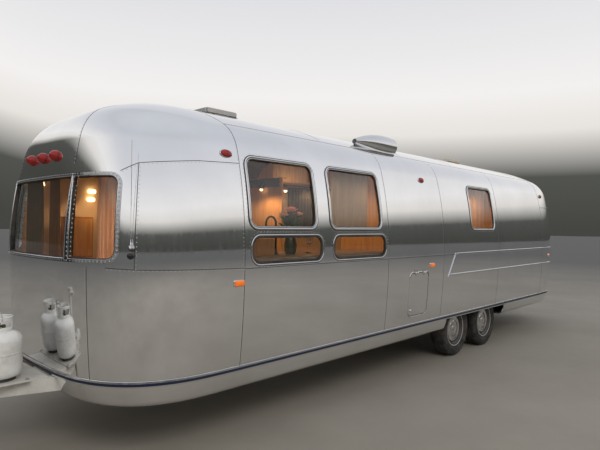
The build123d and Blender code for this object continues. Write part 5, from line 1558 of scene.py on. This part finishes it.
def makePosy(place):
    # Blooms and leaves: seeded, so that every run gives the same posy
    chance = random.Random(7)
    petals, petalFaces, leaves, leafFaces, stems = [], [], [], [], []

    def leaning(a, lean):
        # Outward and sideways directions, the blade's own and the one that it curls towards
        out, side = Vector((cos(a), sin(a), 0)), Vector((-sin(a), cos(a), 0))
        along, curl = above * cos(lean) + out * sin(lean), out * cos(lean) - above * sin(lean)
        return out, side, along.normalized(), curl.normalized()

    for centre, size in (((0.00, 0.00, 0.395), 0.052), ((-0.075, 0.02, 0.360), 0.034), ((0.065, -0.01, 0.350), 0.030)):
        centre = Vector(centre)
        middle = place + centre
        for ring, (count, lean) in enumerate(((4, 0.15), (6, 0.5), (8, 0.9), (9, 1.25))):
            for k in range(count):
                a = 2 * pi * (k + 0.37 * ring) / count + chance.uniform(-0.08, 0.08)
                out, side, along, curl = leaning(a, lean)
                blade(petals, petalFaces, middle + out * (0.10 * size * ring) - above * (0.3 * size), along, side, curl,
                      size * (0.8 + 0.1 * ring), size * 0.42, -0.25 * size)
        stems.append((place + Vector((centre.x * 0.15, centre.y * 0.15, 0.150)), middle - above * (0.3 * size)))
    for k in range(90):
        a, rise = chance.uniform(0, 2 * pi), chance.uniform(0.19, 0.32)
        reach, lean = chance.uniform(0.02, 0.150), chance.uniform(0.5, 1.35)
        out, side, along, curl = leaning(a, lean)
        base = place + out * reach * 0.5 + above * rise
        blade(leaves, leafFaces, base, along, side, curl, chance.uniform(0.05, 0.095), 0.015, -0.012)
    for name, points, faces, finish in (("Petals", petals, petalFaces, petal), ("Leaves", leaves, leafFaces, leaf)):
        sheet = newObject("flower" + name, newMesh("flower" + name, points, faces))
        dress(bake(modify(sheet, "SOLIDIFY", thickness=0.0006)), finish, "seat_cloth")
    for k, (a, b) in enumerate(stems):
        bentTube(f"flowerStem{k}", [a, (a + b) / 2 + Vector((0.004, 0, 0)), b], 0.0022, leaf, "seat_cloth", count=8)


def makeCounterThings():
    # Sink tap, two stemmed glasses, a bread box and a vase of flowers on the galley top
    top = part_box("galley_top")[1][2]
    at = Vector((2.065, 0.860, top))
    bend = [radians(190 * k / 24) for k in range(1, 25)]
    path = [at, at + above * 0.255]
    path += [at + Vector((0, -0.065, 0.270)) + north * (0.065 * cos(a)) + above * (0.065 * sin(a)) for a in bend]
    bentTube("sinkTap", path + [path[-1] + Vector((0, 0.004, -0.035))], 0.0095, glossBlack, "frame_black", count=16)
    foot = [(0, 0), (0.026, 0), (0.026, 0.006), (0.016, 0.012), (0.013, 0.045), (0, 0.045)]
    turned("sinkTapFoot", at, foot, 32, blackPaint, "frame_black")
    bentTube("sinkLever", [at + Vector((x, 0, z)) for x, z in ((0.012, 0.035), (0.040, 0.046), (0.085, 0.060))], 0.0045,
             blackPaint, "frame_black")
    stemmed = [(0, 0), (0.034, 0.0), (0.034, 0.0015), (0.008, 0.004), (0.0032, 0.010), (0.0030, 0.078), (0.008, 0.084),
               (0.026, 0.100), (0.034, 0.122), (0.0345, 0.140), (0.030, 0.176), (0.0288, 0.176), (0.0332, 0.140),
               (0.0326, 0.122), (0.024, 0.101), (0.0, 0.0865)]
    for k, (x, y) in enumerate(((1.945, 0.905), (1.700, 0.930), (1.640, 0.850))):
        turned(f"stemGlass{k}", Vector((x, y, top)), stemmed, 40, glass, "glass")
    plank("breadBox", (2.240, 0.820, top), (2.600, 1.040, top + 0.150), cabinetWood, edge=0.012)
    vase = [(0, 0.0), (0.040, 0.0), (0.052, 0.030), (0.056, 0.080), (0.046, 0.140), (0.034, 0.175), (0.038, 0.190),
            (0.035, 0.190),
            (0.031, 0.175), (0.043, 0.140), (0.052, 0.080), (0.0, 0.012)]
    place = Vector((1.960, 0.940, top))
    turned("vase", place, vase, 40, vaseGlaze, "bottle_white")
    makePosy(place)


def makeCabinLamps():
    # Under-locker spots, two wall lamps seen through the left wing, and one by the right wing
    can = [(0, 0.0), (0.030, 0.0), (0.030, -0.010), (0.027, -0.014), (0.024, -0.014), (0.022, -0.008), (0.0, -0.008)]
    disc = [(0, 0.0), (0.0215, 0.0), (0.0215, -0.002), (0, -0.003)]
    spots = [(x, -0.900) for x in (0.520, 0.300, -0.35, -1.05, -1.80, 2.3)] + [(1.77, 0.860), (0.30, 0.900), (-0.55, 0.900)]
    for k, (x, y) in enumerate(spots):
        turned(f"spotLamp{k}", Vector((x, y, 2.2397)), can, 32, brass, "chrome")
        turned(f"spotFace{k}", Vector((x, y, 2.2305)), disc, 32, lampGlow, "amber_lens")
    shade = [(0, -0.038), (0.017, -0.035), (0.021, -0.026), (0.021, 0.026), (0.017, 0.035), (0, 0.038)]
    for k, z in enumerate((1.984, 1.900)):
        x, y = insideCap(180 - 7.3, z, 0.030)
        turned(f"wallLamp{k}", Vector((x, y, z)), shade, 28, lampGlow, "amber_lens", axes=(north, above, east))
        bentTube(f"wallLampArm{k}", [Vector((x, y, z)), Vector((x, y - 0.045, z))], 0.008, brass, "chrome")
    # Two globes on the partition, one on its face and one on its free edge, over the panel that they wash with light
    face = behind(1.850)
    cap = [(0, 0.026), (0.010, 0.024), (0.019, 0.012), (0.0205, 0.005), (0, 0.006)]
    ball = [(0.0, -0.019)] + [(0.019 * cos(radians(a)), 0.019 * sin(radians(a))) for a in range(-75, 76, 15)] + [(0.0, 0.019)]
    for k, (foot, globe) in enumerate((((face, -0.600, 2.160), (face + 0.048, -0.621, 2.101)),
                                       ((face - 0.006, -0.330, 2.150), (face + 0.048, -0.190, 2.069)))):
        foot, globe = Vector(foot), Vector(globe)
        path = [foot, foot + Vector((0.030, 0, 0.010)), globe + Vector((0, 0, 0.034)), globe + Vector((0, 0, 0.014))]
        bentTube(f"panelLampArm{k}", path, 0.005, brass, "chrome")
        turned(f"panelLampCap{k}", globe, cap, 32, brass, "chrome")
        turned(f"panelLampGlobe{k}", globe, ball, 32, lampGlow, "amber_lens")
    # A near-black strip across the partition's top: painted shade under the ceiling
    plank("panelHeader", (face + 0.0003, -1.060, 2.128), (face + 0.012, -0.340, 2.236), paintedShadeHeader, "seat_cloth", 0.004)
    x, y = insideCap(180 - 36, 2.02, 0.050)
    shade = [(0, 0.02), (0.020, 0.02), (0.028, -0.012), (0.026, -0.014), (0, -0.014)]
    turned("cornerLamp", Vector((x, y, 2.02)), shade, 28, lampGlow, "amber_lens")
    bentTube("cornerLampArm", [Vector((x, y, 2.035)), Vector((x + 0.02, y - 0.045, 2.050))], 0.006, brass, "chrome")


def makeLoungeCupboards():
    # Wooden end cupboards under the wings of the front screen, a shelf behind the middle light and a corner cabinet
    for side, name in sides:
        near, far = sorted((side * 0.815, side * 1.040))
        plank(f"loungeEnd{name}0", (2.800, near, 0.600), (3.240, far, 1.310), cabinetWood, edge=0.006)
    plank("loungeShelf", (3.445, -0.560, 1.300), (3.640, 0.560, 1.322), paleWood, edge=0.004)
    plank("loungePanelRight", (2.735, -1.160, 1.320), (2.760, -0.830, 2.180), cabinetWood, edge=0.004)
    plank("loungeCabinet", (2.926, -1.035, 1.3105), (3.1925, -0.905, 1.717), cabinetWood, edge=0.004)
    plank("loungeCabinetDoor", (2.940, -0.9047, 1.330), (3.178, -0.890, 1.700), panelWood, edge=0.003)


def cushionForm(name, low, high, corner):
    # A box with rounded plan and edges
    (x0, y0, z0), (x1, y1, z1) = low, high
    path = roundedPath(x1 - x0, y1 - y0, corner, 5)
    points = []
    for inset, rise in ((0.012, 0.0), (0.0, 0.010), (0.0, z1 - z0 - 0.012), (0.012, z1 - z0)):
        grow = 1 - inset / (0.5 * min(x1 - x0, y1 - y0))
        points += [Vector(((x0 + x1) / 2 + a * grow, (y0 + y1) / 2 + b * grow, z0 + rise)) for a, b in path]
    return newObject(name, outward(newMesh(name, points, closedBands(3, len(path)))))


def swell(soft):
    # Cloth pressure fills every cushion at once; how far a point may move is capped
    scene = bpy.context.scene
    starts = {}
    for obj, low, high, cap, cell in soft:
        bake(modify(obj, "REMESH", mode="VOXEL", voxel_size=cell, use_smooth_shade=True))
        starts[obj.name] = [v.co.copy() for v in obj.data.vertices]
        cloth = modify(obj, "CLOTH").modifiers[0]
        for label, value in (("uniform_pressure_force", 4.0), ("use_pressure", True), ("quality", 5)):
            setattr(cloth.settings, label, value)
        cloth.settings.effector_weights.gravity = 0
        cloth.point_cache.frame_end = 20
    for step in range(1, 21):
        scene.frame_set(step)
    for obj, low, high, cap, cell in soft:
        bake(obj)
        for vertex, start in zip(obj.data.vertices, starts[obj.name]):
            move = vertex.co - start
            if move.length > cap:
                move *= cap / move.length
            place = start + move
            for axis in range(3):
                place[axis] = min(max(place[axis], low[axis]), high[axis])
            vertex.co = place
    scene.frame_set(1)


def makeCushions():
    # Three seat cushions across the lounge and a mattress on each rear bed
    top, thick, half = 0.9005, 0.1085, 0.790
    rows = []  # name, room's low and high corner, plan's corner, cap, cell, finish
    for k in range(3):
        y = -half + k * 2 * half / 3
        low, high = (behind(-0.080) + 0.001, y + 0.003, top), (behind(-0.700) - 0.001, y + 2 * half / 3 - 0.003, top + thick)
        rows.append((f"loungeCushion{k}", low, high, 0.045, 0.016, 0.006, seatCloth))
    for side, word in sides:
        y0, y1 = sorted((side * 0.341, side * 1.090))
        low, high = (behind(6.189), y0, top), (behind(5.031), y1, top + thick)
        rows.append((f"mattress{word}", low, high, 0.060, 0.012, 0.010, mattressCloth))
    soft = []
    for name, low, high, corner, cap, cell, finish in rows:
        room = (Vector(low) + Vector((0.010, 0.010, 0)), Vector(high) - Vector((0.010, 0.010, 0.014)))
        soft.append((cushionForm(name, *room, corner), low, high, cap, cell))
    swell(soft)
    bead = [(0.0042 * c, 0.0042 * s) for c, s in turns(8)]
    for (obj, *rest), (name, low, high, corner, cap, cell, finish) in zip(soft, rows):
        obj.data.shade_smooth()
        dress(obj, finish, "seat_cloth", replaced=("cushions",))
        # Piping round the top edge
        (x0, y0, z0), (x1, y1, z1) = low, high
        path = roundedPath(x1 - x0 - 0.032, y1 - y0 - 0.032, corner, 6)
        line = [Vector(((x0 + x1) / 2 + a, (y0 + y1) / 2 + b, z1 - 0.026)) for a, b in path]
        ringAlong(name + "Piping", line, [above] * len(line), bead, pipingCloth, slot="seat_cloth", sharp=80)


makeCushions()
print("cushions ready")
makeCabinetFronts()
makeCounterThings()
makeCabinLamps()
makeLoungeCupboards()
print("cabin fittings ready")


# Finishes of the nodes that stay as they are
for finish, nodes in (
        (chrome, "antenna door_fittings hatch_fittings hubcap_1 hubcap_2 hubcap_3 hubcap_4"), (bluePlastic, "belt_insert"),
        (blackPaint, "axles entry_step step_rails wheel_wells"), (dullMetal, "belly_pan vent_curbs water_heater"),
        (trimBright, "belt_rail hinge_posts rear_mouldings roof_cowl window_frames"), (glass, "door_glass window_glass"),
        (framePaint, "chassis coupler gas_rack jack_tube rear_bumper"), (seatCloth, "cushions"), (plywood, "floor"),
        (cabinetWood, "galley_cabinet seat_bases"), (counterTop, "galley_top"), (bottlePaint, "gas_bottles"),
        (bareSteel, "jack_leg"), (amberLens, "lamps_amber"), (redLens, "lamps_red"), (paleWood, "overhead_lockers"),
        (panelWood, "partitions"), (screenMetal, "screen_frame"), (greyPlastic, "vent_lid_front"),
        (tanPlastic, "vent_lid_rear"), (tyreRubber, "tyre_1 tyre_2 tyre_3 tyre_4"),
        (wheelMetal, "wheel_1 wheel_2 wheel_3 wheel_4")):
    for node in nodes.split():
        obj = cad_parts[node]
        if not obj.data.materials:
            obj.data.materials.append(finish)
        for mark in obj.material_slots:
            mark.material = finish
print("finishes set")


# Camera, light and floor
view = {"place": (5.205, 4.168, 1.663), "along": (-0.722, -0.692, 0.0), "roll": 0.74, "lens": 30.73}


def makeCamera():
    data = bpy.data.cameras.new("camera")
    data.lens = view["lens"]
    data.sensor_width = 36
    camera = newObject("camera", data)
    turn = Vector(view["along"]).normalized().to_track_quat("-Z", "Y").to_matrix().to_4x4()
    camera.matrix_world = Matrix.Translation(view["place"]) @ turn @ Matrix.Rotation(radians(view["roll"]), 4, "Z")
    bpy.context.scene.camera = camera


def makeWorld():
    # A soft studio sky: a dark skirting at the horizon, bright above it and greyer overhead
    world = bpy.data.worlds.new("studio")
    world.use_nodes = True
    bpy.context.scene.world = world
    tree = world.node_tree
    way = add(tree, "ShaderNodeTexCoord").outputs["Generated"]
    up = add(tree, "ShaderNodeSeparateXYZ", {0: way}).outputs["Z"]
    facing = add(tree, "ShaderNodeVectorMath", {0: way, 1: (0.72, -0.69, 0)}, operation="DOT_PRODUCT").outputs["Value"]
    rise = add(tree, "ShaderNodeMapRange", {"Value": facing, "From Min": 0.30, "From Max": 1.0, "To Min": 0.0, "To Max": 0.25},
               interpolation_type="SMOOTHERSTEP").outputs["Result"]
    height = add(tree, "ShaderNodeMath", {0: up, 1: rise}, operation="SUBTRACT").outputs[0]
    stops = [(0.0, (0.060, 0.062, 0.055)), (0.09, (0.085, 0.088, 0.080)), (0.17, (0.80, 0.77, 0.73)), (0.24, (0.90, 0.88, 0.87)),
             (0.45, (0.70, 0.71, 0.75)), (0.75, (0.60, 0.62, 0.67)), (1.0, (0.66, 0.68, 0.73))]
    put(tree.nodes["Background"], {"Color": ramp(tree, height, stops), "Strength": 1.0})


def makeFloor():
    # Pale near the object; from 8 to 22 m out its colour darkens, painted shade falling off to the dark of the horizon
    material, tree, shader = newMaterial("floorPaint")
    cloud = noise(tree, place(tree), 0.6, 5.0, 0.6)
    near = ramp(tree, cloud, [(0.3, (0.245, 0.222, 0.184)), (0.7, (0.305, 0.280, 0.236))])
    reach = add(tree, "ShaderNodeVectorMath", {0: place(tree)}, operation="LENGTH").outputs["Value"]
    # Painted shade: the colour darkens with distance from the origin
    far = spread(tree, reach, 0.0, 1.0, 8.0, 22.0)
    mix = add(tree, "ShaderNodeMix", {"Factor": far, "A": near, "B": (0.10, 0.10, 0.09, 1)}, data_type="RGBA")
    put(shader, {"Base Color": mix.outputs["Result"], "Roughness": 0.75})
    points = [Vector((cos(radians(a)) * 120, sin(radians(a)) * 120, 0)) for a in range(0, 360, 6)]
    floor = newObject("floor", newMesh("floor", points, [tuple(range(60))], False))
    floor.data.materials.append(material)


def makeLight(name, at, towards, size, power, colour):
    data = bpy.data.lights.new(name, "AREA")
    data.shape = "RECTANGLE"
    data.size, data.size_y = size
    data.energy = power
    data.color = colour
    light = newObject(name, data)
    aim = (Vector(towards) - Vector(at)).to_track_quat("-Z", "Y").to_matrix().to_4x4()
    light.matrix_world = Matrix.Translation(at) @ aim
    light.visible_glossy = False


bpy.context.scene.view_settings.view_transform = "Standard"
makeCamera()
makeWorld()
makeFloor()
makeLight("key", (6.0, 9.0, 8.0), (0, 0, 1.2), (7, 4), 500, (1, 0.97, 0.93))
cabinLights = [(x, -0.90, 2.19, 5.0) for x in (0.52, 0.300, -0.35, -1.05, -1.80, 2.30)] + [
    # x, y, z, watts: under the lockers, by the partition, the front wall lamps and over the beds; all point down
    (1.77, 0.86, 2.19, 9.0), (0.30, 0.90, 2.19, 4.0), (1.12, -0.46, 2.06, 8.0), (2.90, -0.86, 1.95, 5.0),
    (2.95, 0.62, 2.00, 16.0), (0.95, 0.10, 2.52, 4.0), (-1.42, 0.70, 2.16, 12.0), (0.95, 0.72, 2.16, 6.0),
    (-2.90, 0.0, 2.2, 12.0), (-4.0, 0.0, 2.0, 8.0),
]
cabinGlow = [(0.34, -0.50, 2.13, 2.2), (-1.6, -0.3, 1.9, 3.0)]  # what the worktops throw back up
for n, (x, y, z, power) in enumerate(cabinLights + cabinGlow):
    data = bpy.data.lights.new(f"cabinLamp{n}", "SPOT" if n < len(cabinLights) else "POINT")
    data.energy = power
    data.color = (1.0, 0.62, 0.30)
    data.shadow_soft_size = 0.04
    if data.type == "SPOT":
        data.spot_size, data.spot_blend = radians(165), 0.5
    lamp = newObject(f"cabinLamp{n}", data)
    lamp.location = (x, y, z)
    lamp.visible_camera = lamp.visible_glossy = lamp.visible_transmission = False
